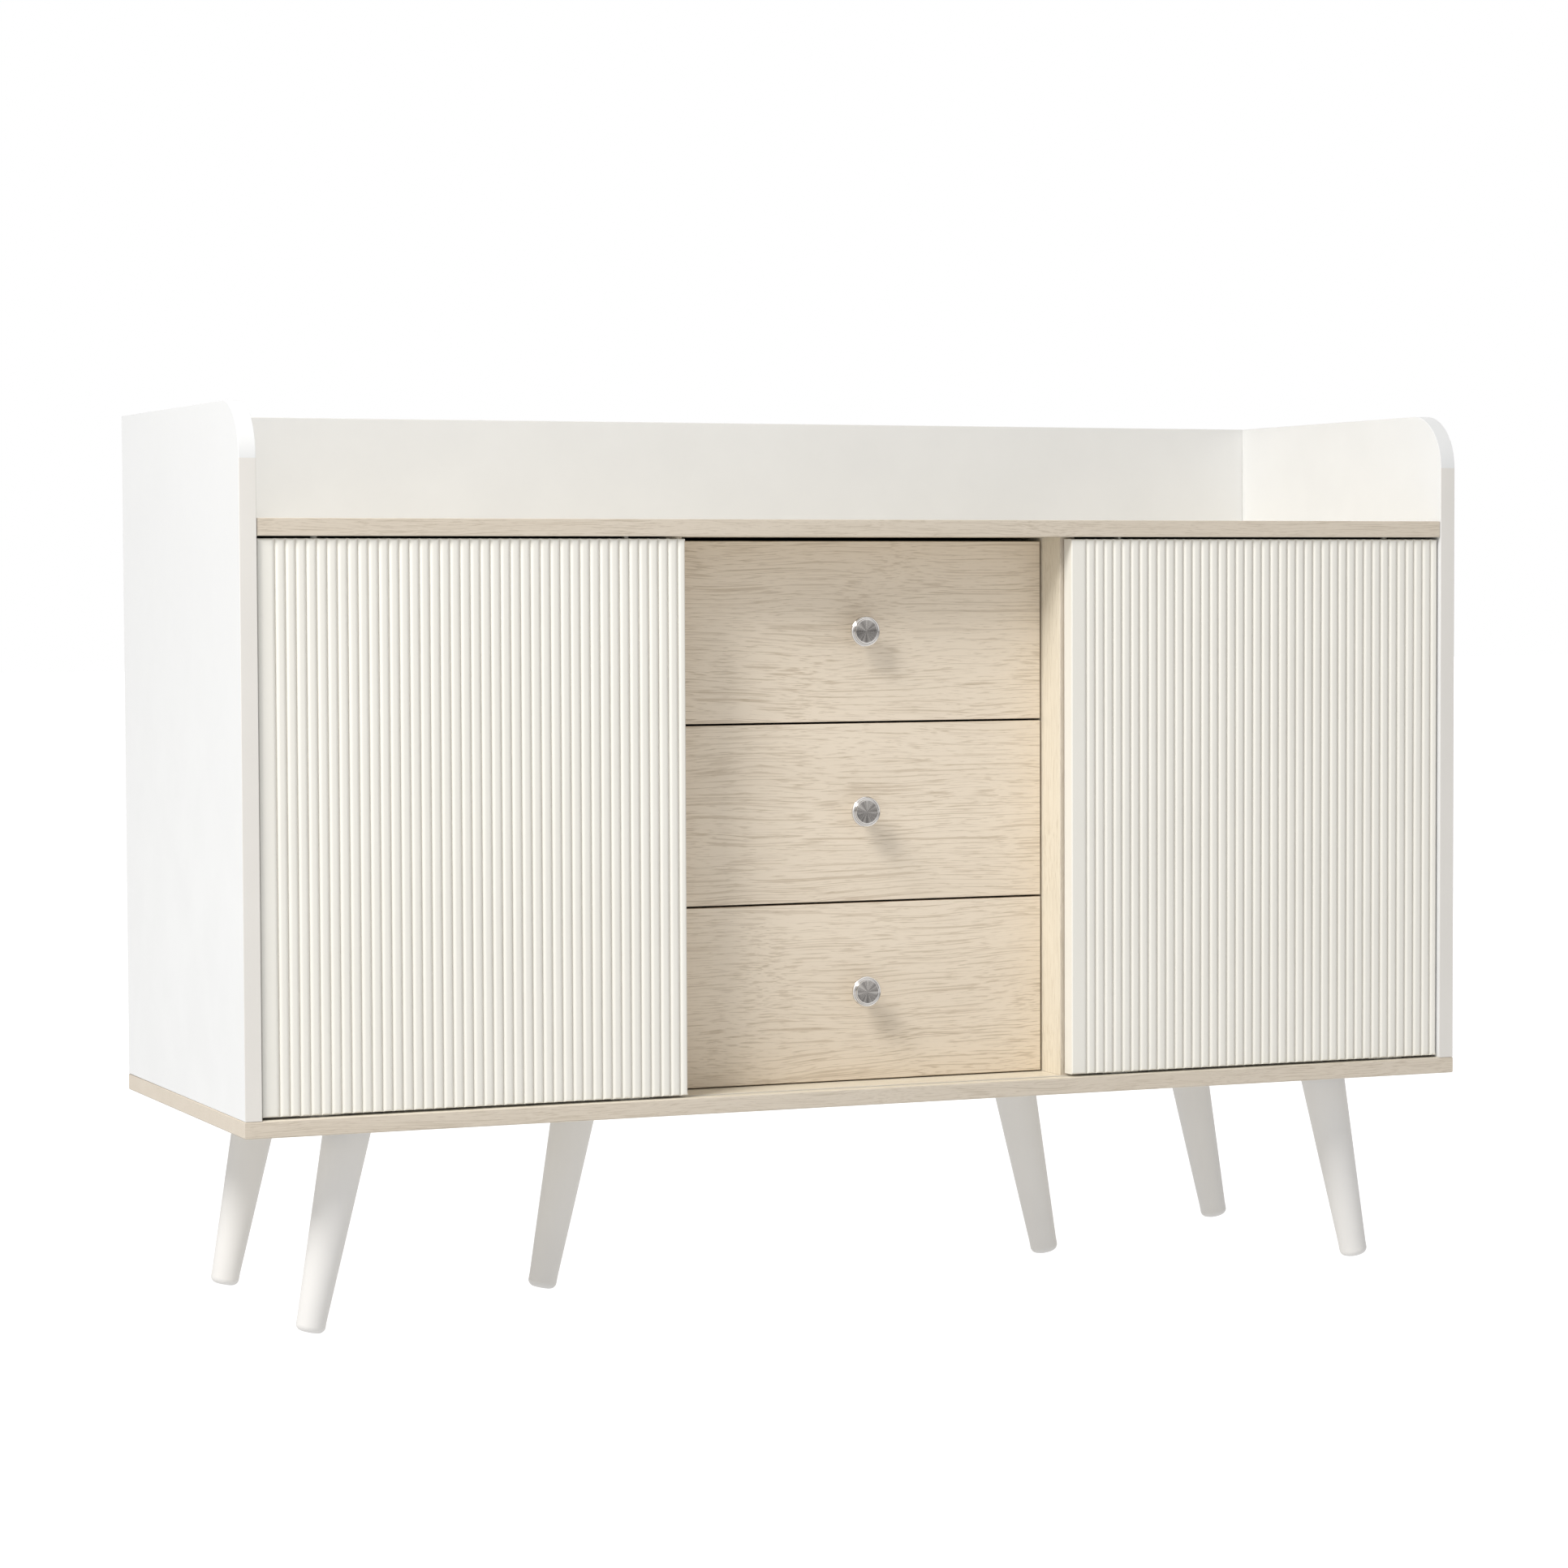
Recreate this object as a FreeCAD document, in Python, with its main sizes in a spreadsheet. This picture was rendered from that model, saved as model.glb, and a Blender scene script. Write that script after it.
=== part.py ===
"""A sideboard on six splayed legs: a white case with a raised gallery, an oak base,
top and partitions, two fluted doors that roll along one track, and three drawers
set back behind the doors' path.

Frame: millimetres, +X to the right, +Y to the back, +Z up. The origin is on the
floor, at the centre of the sideboard's footprint.
"""

import FreeCAD, Part
import math
import os
import Sketcher

doc = FreeCAD.newDocument("Sideboard")

# Driving sizes, in millimetres, degrees and counts. Each becomes one cell of the sheet.
driving_sizes = {
    # case
    "width": 1180,
    "depth": 400,
    "height": 800,
    "leg_height": 178,  # floor to the underside of the base
    "gallery_height": 100,  # rise of the sides above the top board
    "board": 15,  # thickness of every case board
    "back_thick": 3,
    "back_margin": 2,  # how far the back sheet stops short of the case's outline
    "corner_radius": 50,  # front top corner of each side
    "top_recess": 1,
    "top_play": 0.6,  # gap between the top board and each side
    "centre_width": 370,  # between the partitions
    # sliding doors
    "door_thick": 15,
    "door_recess": 4,
    "door_gap": 2,  # above and below a door
    "door_side_gap": 1.5,
    "partition_show": 3.5,  # part of each partition's edge that its door leaves open
    "partition_gap": 2,  # between a door's back and the partition behind it
    "door_left_strip": 15.5,  # plain strips beside the ribs
    "door_right_strip": 6.5,
    "rib_count": 40,
    "rib_depth": 3,
    "rib_gap": 0.8,  # flat between two ribs
    # rollers, top guides and their tracks
    "roller_inset": 52,  # roller's centre from the door's edge
    "housing_length": 36,
    "housing_depth": 10,
    "housing_height": 26,
    "housing_lip": 1,  # how far a housing reaches below the door
    "roller_radius": 9,
    "roller_width": 5,
    "roller_play": 0.4,  # each side of a roller, and round it
    "axle_radius": 1.5,
    "axle_play": 0.05,
    "axle_end_gap": 0.5,
    "track_width": 9,
    "track_depth": 7,
    "track_wall": 1.2,
    "rolling_gap": 0.3,
    "guide_length": 30,
    "guide_height": 16,
    "guide_pin_radius": 3,
    "guide_reach": 6,  # pin's height above the door
    "groove_width": 7.5,
    "groove_depth": 7,
    # shelves
    "shelf_thick": 15,
    "shelf_setback": 40,
    "shelf_play": 0.5,
    "pin_radius": 2.5,
    "pin_length": 16,
    "pin_inset": 60,
    "pin_step": 50,
    "hole_play": 0.1,
    # drawers
    "drawer_recess": 58,
    "drawer_gap": 2,  # between two fronts
    "drawer_low_gap": 1.2,
    "drawer_top_gap": 3.5,
    "top_front_extra": 1.9,  # the top front is this much taller than the others
    "drawer_side_gap": 1.8,
    "front_thick": 15,
    "box_thick": 12,
    "box_headroom": 33.5,  # a drawer side's top edge below its front's
    "box_length": 300,
    "box_lift": 12,  # a drawer side's underside above its front's lower edge
    "bottom_thick": 3,
    "bottom_lift": 8,
    "bottom_let_in": 5,
    "let_in_play": 0.2,
    # drawer runners
    "runner_space": 12.7,
    "runner_height": 35,
    "runner_width": 9,
    "runner_metal": 1.2,
    "runner_rise": 45,  # runner's centre above the drawer side's underside
    "runner_setback": 2,
    "inner_height": 22,
    "inner_width": 9.2,
    "cage_length": 110,
    "cage_start": 120,
    "cage_metal": 0.8,
    "cage_height": 28.2,
    "cage_from_web": 0.8,
    "ball_radius": 2.4,
    "ball_centre": 6.5,  # from the partition's face
    # knobs
    "knob_radius": 14,
    "knob_rise": 81.3,  # above a front's lower edge
    "knob_face_radius": 11.4,
    "knob_base_radius": 7,
    "knob_neck_radius": 5.5,
    "knob_reach": 20,
    "knob_base_thick": 1.5,
    "knob_neck_low": 3,
    "knob_neck_high": 9,
    "knob_rim_low": 16,
    "knob_rim_high": 17.8,
    "knob_dish": 0.6,
    "knob_screw_radius": 2,
    "knob_screw_bite": 9,
    "knob_screw_head_radius": 4,
    "knob_screw_head": 2.4,
    "screw_play": 0.05,
    # legs
    "leg_top_radius": 20.8,
    "leg_foot_radius": 13,
    "foot_round": 6,
    "foot_flat": 0.6,  # taken off each foot where it stands
    "leg_tilt": 11.5,
    "leg_inset": 108,  # corner legs, at the base, from the case's end
    "leg_setback": 60,  # front and back legs, from the base's edges
    "middle_leg": 221,  # middle legs, at the base, from the centre
    "plate_size": 60,
    "plate_thick": 2,
    "plate_screw_inset": 7,
    "plate_screw_radius": 1.75,
    "plate_screw_length": 12,
    "plate_head_radius": 3.5,
    "plate_head": 1.5,
    "leg_bolt_radius": 4,
    "leg_bolt_in_leg": 30,
    "leg_bolt_in_base": 10,
    # cam fittings, dowels and the back's screws
    "cam_radius": 7.5,
    "cam_depth": 12.5,
    "cam_distance": 34,
    "cam_bolt_radius": 3,
    "cam_bolt_bite": 11,
    "cam_inset": 55,
    "cam_slot": 2,
    "dowel_radius": 4,
    "dowel_short": 10,
    "dowel_long": 20,
    "dowel_step": 40,  # from a cam fitting to the dowel beside it
    "back_screw_radius": 1.5,
    "back_screw_length": 16,
    "back_screw_head_radius": 3.5,
    "back_screw_head": 1.2,
    "back_screw_edge": 7.5,
}

drawer_names = ("bottom", "middle", "top")
back_screws_across = 7
back_screws_up = 4
ball_count = 5


class Size:
    """A size with its value and the sheet formula that it comes from."""

    def __init__(self, value, formula):
        self.value = value
        self.formula = formula

    def __add__(self, other):
        other = as_size(other)
        return Size(self.value + other.value, f"({self.formula} + {other.formula})")

    def __sub__(self, other):
        other = as_size(other)
        return Size(self.value - other.value, f"({self.formula} - {other.formula})")

    def __rsub__(self, other):
        return as_size(other) - self

    def __mul__(self, other):
        other = as_size(other)
        return Size(self.value * other.value, f"({self.formula} * {other.formula})")

    def __truediv__(self, other):
        other = as_size(other)
        return Size(self.value / other.value, f"({self.formula} / {other.formula})")

    def __neg__(self):
        return as_size(0) - self

    __radd__ = __add__
    __rmul__ = __mul__


def as_size(number):
    return number if isinstance(number, Size) else Size(float(number), f"{number:g}")


def cos(angle):
    return Size(math.cos(math.radians(angle.value)), f"cos({angle.formula})")


def sin(angle):
    return Size(math.sin(math.radians(angle.value)), f"sin({angle.formula})")


def make_sheet():
    """Writes the driving sizes to the sheet and returns them as an object with one Size each."""
    sheet = doc.addObject("Spreadsheet::Sheet", "Sizes")
    for row, (name, value) in enumerate(driving_sizes.items(), 1):
        sheet.set(f"A{row}", name)
        sheet.set(f"B{row}", str(value))
        sheet.setAlias(f"B{row}", name)
    doc.recompute()
    return {name: Size(float(sheet.get(name)), f"Sizes.{name}") for name in driving_sizes}


size = make_sheet()
board = size["board"]
play = size["hole_play"]

# Planes and places that several pieces share.
front = -size["depth"] / 2
rear = size["depth"] / 2 - size["back_thick"]  # back face of the case boards
half_width = size["width"] / 2
side_inner = half_width - board
base_low = size["leg_height"]
base_top = base_low + board
top_top = size["height"] - size["gallery_height"]
top_low = top_top - board
opening_half = size["centre_width"] / 2
partition_outer = opening_half + board
door_front = front + size["door_recess"]
door_back = door_front + size["door_thick"]
door_low = base_top + size["door_gap"]
door_high = top_low - size["door_gap"]
door_inner = opening_half + size["partition_show"]
door_outer = side_inner - size["door_side_gap"]
door_width = door_outer - door_inner
partition_front = door_back + size["partition_gap"]
track_y = door_back - size["housing_depth"] / 2
track_floor = base_top - size["track_depth"] + size["track_wall"]
roller_z = track_floor + size["rolling_gap"] + size["roller_radius"]
drawer_front = front + size["drawer_recess"]
box_front = drawer_front + size["front_thick"]
box_rear = box_front + size["box_length"]
box_outer = opening_half - size["runner_space"]
box_inner = box_outer - size["box_thick"]
front_gaps = size["drawer_low_gap"] + 2 * size["drawer_gap"] + size["drawer_top_gap"]
front_height = (top_low - base_top - front_gaps - size["top_front_extra"]) / 3

parts = []
cutters = {}
LEFT, RIGHT = -1, 1
sides = {LEFT: "left", RIGHT: "right"}


def bind(thing, prop, value):
    thing.setExpression(prop, as_size(value).formula)


def place(thing, x, y, z):
    for letter, value in zip("xyz", (x, y, z)):
        bind(thing, f"Placement.Base.{letter}", value)
    return thing


def span(side, near, far):
    """The low and high X of something between near and far from the centre, on one side of it."""
    return (near, far) if side == RIGHT else (-far, -near)


def block(name, across, along, up):
    """A box given by its (low, high) in X, Y and Z."""
    box = doc.addObject("Part::Box", name)
    for prop, (low, high) in zip(("Length", "Width", "Height"), (across, along, up)):
        bind(box, prop, high - low)
    return place(box, across[0], along[0], up[0])


turns = {
    "+x": FreeCAD.Rotation(FreeCAD.Vector(0, 1, 0), 90),
    "-x": FreeCAD.Rotation(FreeCAD.Vector(0, 1, 0), -90),
    "+y": FreeCAD.Rotation(FreeCAD.Vector(1, 0, 0), -90),
    "-y": FreeCAD.Rotation(FreeCAD.Vector(1, 0, 0), 90),
    "+z": FreeCAD.Rotation(),
    "-z": FreeCAD.Rotation(FreeCAD.Vector(1, 0, 0), 180),
}


def rod(name, start, heading, radius, length):
    """A cylinder that starts at a point and runs along +x, -x, +y, -y, +z or -z."""
    cylinder = doc.addObject("Part::Cylinder", name)
    cylinder.Placement = FreeCAD.Placement(FreeCAD.Vector(), turns[heading])
    bind(cylinder, "Radius", radius)
    bind(cylinder, "Height", length)
    return place(cylinder, *start)


def together(name, pieces):
    """Separate pieces that share one node."""
    compound = doc.addObject("Part::Compound", name)
    compound.Links = pieces
    return compound


def fused(name, pieces):
    fuse = doc.addObject("Part::MultiFuse", name)
    fuse.Shapes = pieces
    return fuse


def cut(name, base, tools):
    """The base without the tools, which don't overlap each other."""
    result = doc.addObject("Part::Cut", name)
    result.Base = base
    result.Tool = tools[0] if len(tools) == 1 else together(name + "_cutters", tools)
    return result


def finish(label, thing):
    """Takes away what is bored or cut into this piece and lists it as a sub-part."""
    if label in cutters:
        thing = cut(label + "_cut", thing, cutters.pop(label))
    thing.Label = label
    parts.append(thing)
    return thing


def bore(label, *tools):
    cutters.setdefault(label, []).extend(tools)


def new_body(name):
    return doc.addObject("PartDesign::Body", name)


def sketch_on(body, role):
    """A sketch on one of the body's own origin planes."""
    sketch = body.newObject("Sketcher::SketchObject", body.Name + "_sketch")
    plane = [f for f in body.Origin.OriginFeatures if f.Role == role]
    sketch.AttachmentSupport = [(plane[0], "")]
    sketch.MapMode = "FlatFace"
    return sketch


def pin_point(sketch, line, end, across, up):
    """Holds one end of a line at a place that is bound to the sheet."""
    for kind, axis, value in (("DistanceX", -2, across), ("DistanceY", -1, up)):
        value = as_size(value)
        if value.formula == "0":
            sketch.addConstraint(Sketcher.Constraint("PointOnObject", line, end, axis))
            continue
        constraint = Sketcher.Constraint(kind, -1, 1, line, end, value.value)
        index = sketch.addConstraint(constraint)
        sketch.setExpression(f"Constraints[{index}]", value.formula)


def outline(sketch, corners):
    """A closed outline of straight lines through corners given as (across, up)."""
    points = [FreeCAD.Vector(as_size(a).value, as_size(u).value, 0) for a, u in corners]
    for here, there in zip(points, points[1:] + points[:1]):
        sketch.addGeometry(Part.LineSegment(here, there))
    for line, (across, up) in enumerate(corners):
        after = (line + 1) % len(corners)
        sketch.addConstraint(Sketcher.Constraint("Coincident", line, 2, after, 1))
        pin_point(sketch, line, 1, across, up)


def pad(body, sketch, length):
    feature = body.newObject("PartDesign::Pad", body.Name + "_pad")
    feature.Profile = sketch
    bind(feature, "Length", length)
    doc.recompute()
    return feature


def revolve(body, sketch):
    """Turns a sketch about its own vertical axis."""
    feature = body.newObject("PartDesign::Revolution", body.Name + "_turned")
    feature.Profile = sketch
    feature.ReferenceAxis = (sketch, ["V_Axis"])
    feature.Angle = 360
    doc.recompute()
    return feature


def fillet(body, feature, radius, wanted):
    """Rounds the feature's edges for which wanted(edge) is true."""
    edges = [f"Edge{i}" for i, e in enumerate(feature.Shape.Edges, 1) if wanted(e)]
    rounding = body.newObject("PartDesign::Fillet", body.Name + "_round")
    rounding.Base = (feature, edges)
    bind(rounding, "Radius", radius)
    doc.recompute()
    return rounding


# Case boards ------------------------------------------------------------------


def make_side_panel(side):
    """A side stands on the base board. Its front top corner is rounded."""
    label = f"side_panel_{sides[side]}"
    body = new_body(label + "_body")
    sketch = sketch_on(body, "YZ_Plane")
    deep, tall = rear - front, size["height"] - base_top
    outline(sketch, [(0, 0), (deep, 0), (deep, tall), (0, tall)])
    panel = pad(body, sketch, board)

    def front_top(edge):
        middle = edge.CenterOfMass
        return abs(middle.y) < 0.01 and abs(middle.z - tall.value) < 0.01

    fillet(body, panel, size["corner_radius"], front_top)
    place(body, span(side, side_inner, half_width)[0], front, base_top)
    finish(label, body)


def make_boards():
    inner = (-side_inner, side_inner)
    make_side_panel(LEFT)
    make_side_panel(RIGHT)
    groove_half = size["track_width"] / 2
    track_groove = block(
        "track_groove",
        inner,
        (track_y - groove_half, track_y + groove_half),
        (base_top - size["track_depth"], base_top),
    )
    bore("base_board", track_groove)
    base = block("base", (-half_width, half_width), (front, rear), (base_low, base_top))
    finish("base_board", base)

    top_end = side_inner - size["top_play"]
    guide_half = size["groove_width"] / 2
    guide_groove = block(
        "guide_groove",
        (-top_end, top_end),
        (track_y - guide_half, track_y + guide_half),
        (top_low, top_low + size["groove_depth"]),
    )
    bore("top_board", guide_groove)
    top_front = front + size["top_recess"]
    top = block("top", (-top_end, top_end), (top_front, rear - board), (top_low, top_top))
    finish("top_board", top)

    gallery = block("gallery", inner, (rear - board, rear), (top_low, size["height"]))
    finish("gallery_back", gallery)
    margin = size["back_margin"]
    back = block(
        "back",
        (margin - half_width, half_width - margin),
        (rear, size["depth"] / 2),
        (base_low + margin, size["height"] - margin),
    )
    finish("back_panel", back)
    for side, word in sides.items():
        across = span(side, opening_half, partition_outer)
        upright = block("upright_" + word, across, (partition_front, rear), (base_top, top_low))
        finish(f"partition_{word}", upright)


# Shelves ----------------------------------------------------------------------

hole_middle = (base_top + top_low) / 2


def shelf_columns():
    return (partition_front + size["pin_inset"], rear - size["pin_inset"])


def bore_shelf_holes():
    """Three heights of holes in two columns, on both walls of each outer compartment."""
    deep = size["pin_length"] / 2 + play
    for side, word in sides.items():
        outward, inward = ("+x", "-x") if side == RIGHT else ("-x", "+x")
        walls = (
            (f"side_panel_{word}", side_inner, outward),
            (f"partition_{word}", partition_outer, inward),
        )
        for label, face, heading in walls:
            for y in shelf_columns():
                for step in (-1, 0, 1):
                    start = (side * face, y, hole_middle + step * size["pin_step"])
                    hole = rod("pin_hole", start, heading, size["pin_radius"] + play, deep)
                    bore(label, hole)


def make_shelves():
    shelf_low = hole_middle + size["pin_radius"]
    pins = []
    for side, word in sides.items():
        ends = (partition_outer + size["shelf_play"], side_inner - size["shelf_play"])
        shelf = block(
            "shelf_board_" + word,
            span(side, *ends),
            (partition_front + size["shelf_setback"], rear - size["shelf_play"]),
            (shelf_low, shelf_low + size["shelf_thick"]),
        )
        finish(f"shelf_{word}", shelf)
        half_pin = size["pin_length"] / 2
        for face in (partition_outer, side_inner):
            for y in shelf_columns():
                start = (side * face - half_pin, y, hole_middle)
                pins.append(rod("pin", start, "+x", size["pin_radius"], size["pin_length"]))
    finish("shelf_pins", together("pins", pins))


# Cam fittings and dowels --------------------------------------------------------


def opposite(heading):
    return ("-" if heading[0] == "+" else "+") + heading[1]


def moved(point, heading, distance):
    """The point, moved along +x, -x, +y, -y, +z or -z."""
    step = distance if heading[0] == "+" else -distance
    return tuple(p + step if a == heading[1] else p for a, p in zip("xyz", point))


def cam_joint(mouth, into, bolt, face_distance, housed_in, screwed_to):
    """A cam sunk at mouth along into, and its bolt, which runs along bolt to the other board."""
    middle = moved(mouth, into, board / 2)
    depth, radius = size["cam_depth"], size["cam_radius"]
    bolt_radius = size["cam_bolt_radius"]
    neck = moved(middle, bolt, radius / 3)
    bolt_length = face_distance - radius / 3 + size["cam_bolt_bite"]
    socket = rod("cam_socket", middle, bolt, bolt_radius + play, radius)
    slot_half = size["cam_slot"] / 2
    slot_low = moved(moved(mouth, "-" + bolt[1], radius), "-" + other_axis(into, bolt), slot_half)
    slot = doc.addObject("Part::Box", "cam_slot")
    slot_sizes = {bolt[1]: 2 * radius, other_axis(into, bolt): 2 * slot_half, into[1]: size["cam_slot"]}
    if into[0] == "-":
        slot_low = moved(slot_low, into, size["cam_slot"])
    for axis, prop in zip("xyz", ("Length", "Width", "Height")):
        bind(slot, prop, slot_sizes[axis])
    place(slot, *slot_low)
    lock = cut("cam_lock", rod("cam", mouth, into, radius, depth), [socket, slot])
    bore(housed_in, rod("cam_hole", mouth, into, radius + play, depth + play))
    for label in (housed_in, screwed_to):
        reach = bolt_length + radius / 3 + play
        hole = rod("bolt_hole", middle, bolt, bolt_radius + play, reach)
        bore(label, hole)
    return lock, rod("cam_bolt", neck, bolt, bolt_radius, bolt_length)


def other_axis(first, second):
    """The letter of the axis that neither heading runs along."""
    return next(a for a in "xyz" if a not in (first[1], second[1]))


def make_cam_fittings():
    reach = size["cam_distance"]
    joints = []
    for side, word in sides.items():
        out, back_in = ("+x", "-x") if side == RIGHT else ("-x", "+x")
        panel, upright = f"side_panel_{word}", f"partition_{word}"
        for y in (front + size["cam_inset"], rear - size["cam_inset"]):
            foot = (side * side_inner, y, base_top + reach)
            joints.append(cam_joint(foot, out, "-z", reach, panel, "base_board"))
            under_top = (side * (side_inner - size["top_play"] - reach), y, top_low)
            gap_reach = reach + size["top_play"]
            joints.append(cam_joint(under_top, "+z", out, gap_reach, "top_board", panel))
        for y in (partition_front + size["cam_inset"], rear - size["cam_inset"]):
            for z, bolt, other in (
                (base_top + reach, "-z", "base_board"),
                (top_low - reach, "+z", "top_board"),
            ):
                mouth = (side * partition_outer, y, z)
                joints.append(cam_joint(mouth, back_in, bolt, reach, upright, other))
    locks, bolts = zip(*joints)
    finish("cam_locks", together("locks", list(locks)))
    finish("cam_bolts", together("bolts", list(bolts)))


def dowel(joint, heading, long_in, short_in):
    """A dowel across a joint face: its long end along heading, its short end the other way."""
    start = moved(joint, opposite(heading), size["dowel_short"])
    length = size["dowel_short"] + size["dowel_long"]
    for label in (long_in, short_in):
        hole_start = moved(start, opposite(heading), play)
        hole = rod("dowel_hole", hole_start, heading, size["dowel_radius"] + play, length + 2 * play)
        bore(label, hole)
    return rod("dowel", start, heading, size["dowel_radius"], length)


def make_dowels():
    beside = size["cam_inset"] + size["dowel_step"]
    dowels = []
    for side, word in sides.items():
        inward = "-x" if side == RIGHT else "+x"
        panel = f"side_panel_{word}"
        for y in (front + beside, rear - beside):
            foot = (side * (side_inner + board / 2), y, base_top)
            dowels.append(dowel(foot, "+z", panel, "base_board"))
            end = (side * side_inner, y, top_low + board / 2)
            dowels.append(dowel(end, inward, "top_board", panel))
        for share in (0.25, 0.75):
            end = (side * side_inner, rear - board / 2, top_top + share * size["gallery_height"])
            dowels.append(dowel(end, inward, "gallery_back", panel))
        for share in (0.5, 1.5):
            rear_edge = (side * share * opening_half, rear - board, top_low + board / 2)
            dowels.append(dowel(rear_edge, "-y", "top_board", "gallery_back"))
    finish("wood_dowels", together("dowels", dowels))


def make_back_screws():
    """Pan-head screws round the back sheet and down both partitions."""
    edge = size["back_screw_edge"]
    right, low = half_width - edge, base_low + edge
    high = top_top - edge
    places = []
    for i in range(back_screws_across):
        x = -right + 2 * right * (i / (back_screws_across - 1))
        places += [(x, low), (x, high)]
    for x in (-right, -(opening_half + board / 2), opening_half + board / 2, right):
        for i in range(1, back_screws_up):
            places.append((x, low + (high - low) * (i / back_screws_up)))
    screws = []
    length, head = size["back_screw_length"], size["back_screw_head"]
    for x, z in places:
        face = (x, size["depth"] / 2, z)
        shank = rod("back_shank", face, "-y", size["back_screw_radius"], length)
        cap = rod("back_cap", moved(face, "-y", head), "+y", size["back_screw_head_radius"], head)
        screws.append(fused("back_screw", [shank, cap]))
    finish("back_panel_screws", together("back_screws", screws))


# Legs -------------------------------------------------------------------------


def tilted(thing, side, x, y, z):
    """Leans a piece that is made upright at its origin: its foot moves away from the centre."""
    lean = FreeCAD.Rotation(FreeCAD.Vector(0, -side, 0), size["leg_tilt"].value)
    thing.Placement = FreeCAD.Placement(FreeCAD.Vector(), lean)
    bind(thing, "Placement.Rotation.Angle", size["leg_tilt"])
    return place(thing, x, y, z)


def leg_places():
    """Each leg's name, side and place where its centreline meets the base's underside."""
    corner, middle = half_width - size["leg_inset"], size["middle_leg"]
    rows = (
        ("front", corner, front + size["leg_setback"]),
        ("middle", middle, (front + rear) / 2),
        ("back", corner, rear - size["leg_setback"]),
    )
    return [(f"{row}_{word}", side, side * x, y) for row, x, y in rows for side, word in sides.items()]


def make_leg(name, side, x, y):
    """A round tapered leg with a rounded foot, cut level at its plate and at the floor."""
    tilt, foot, rounding = size["leg_tilt"], size["leg_foot_radius"], size["foot_round"]
    end_rise = rounding * (1 - cos(tilt)) + (foot - rounding) * sin(tilt)
    length = (base_low + size["foot_flat"] - end_rise) / cos(tilt)
    top = size["leg_top_radius"]
    spare = top / 2  # above the base's underside, cut off again below
    body = new_body(f"leg_{name}_body")
    sketch = sketch_on(body, "XZ_Plane")
    taper_end = 2 * rounding - length  # from here down the foot is straight
    corners = [(0, spare), (top, spare), (top, 0), (foot, taper_end), (foot, -length), (0, -length)]
    outline(sketch, corners)
    turned = revolve(body, sketch)

    def at_foot(edge):
        bounds = edge.BoundBox
        return bounds.ZLength < 0.01 and bounds.ZMax < 0.01 - length.value and bounds.XLength > 1

    fillet(body, turned, rounding, at_foot)
    tilted(body, side, x, y, base_low)
    reach = size["plate_size"]
    across, along = (x - reach, x + reach), (y - reach, y + reach)
    above = block("above_leg", across, along, (base_low - size["plate_thick"], base_low + reach))
    below = block("below_leg", across, along, (-reach, as_size(0)))
    stump = cut(f"leg_{name}_level", body, [above, below])
    hole = leg_bolt(f"leg_hole_{name}", side, x, y, play)
    finish(f"leg_{name}", cut(f"leg_{name}_bored", stump, [hole]))


def leg_bolt(name, side, x, y, extra):
    """The threaded bolt between a leg and the base, or with extra radius the hole for it."""
    in_leg, in_base = size["leg_bolt_in_leg"], size["leg_bolt_in_base"]
    shaft = doc.addObject("Part::Cylinder", name)
    bind(shaft, "Radius", size["leg_bolt_radius"] + extra)
    bind(shaft, "Height", in_leg + in_base + 2 * as_size(extra))
    start = in_leg + extra
    tilt = size["leg_tilt"]
    return tilted(shaft, side, x - (-side) * start * sin(tilt), y, base_low - start * cos(tilt))


def make_legs():
    plates, screws, bolts = [], [], []
    half, inset = size["plate_size"] / 2, size["plate_screw_inset"]
    plate_low = base_low - size["plate_thick"]
    for name, side, x, y in leg_places():
        make_leg(name, side, x, y)
        bolts.append(leg_bolt(f"leg_bolt_{name}", side, x, y, as_size(0)))
        bore("base_board", leg_bolt(f"base_hole_{name}", side, x, y, play))
        flat = block("plate", (x - half, x + half), (y - half, y + half), (plate_low, base_low))
        holes = [leg_bolt(f"plate_hole_{name}", side, x, y, play)]
        for across in (-1, 1):
            for along in (-1, 1):
                head = (x + across * (half - inset), y + along * (half - inset), plate_low)
                shank = rod("plate_shank", head, "+z", size["plate_screw_radius"], size["plate_screw_length"])
                cap = rod("plate_cap", head, "-z", size["plate_head_radius"], size["plate_head"])
                screws.append(fused("plate_screw", [shank, cap]))
                holes.append(
                    rod("plate_hole", head, "+z", size["plate_screw_radius"] + play, size["plate_thick"])
                )
        plates.append(cut("leg_plate", flat, holes))
    finish("leg_plates", together("plates", plates))
    finish("leg_plate_screws", together("plate_screws", screws))
    finish("leg_bolts", together("leg_bolt_set", bolts))


# Sliding doors ------------------------------------------------------------------


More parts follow.
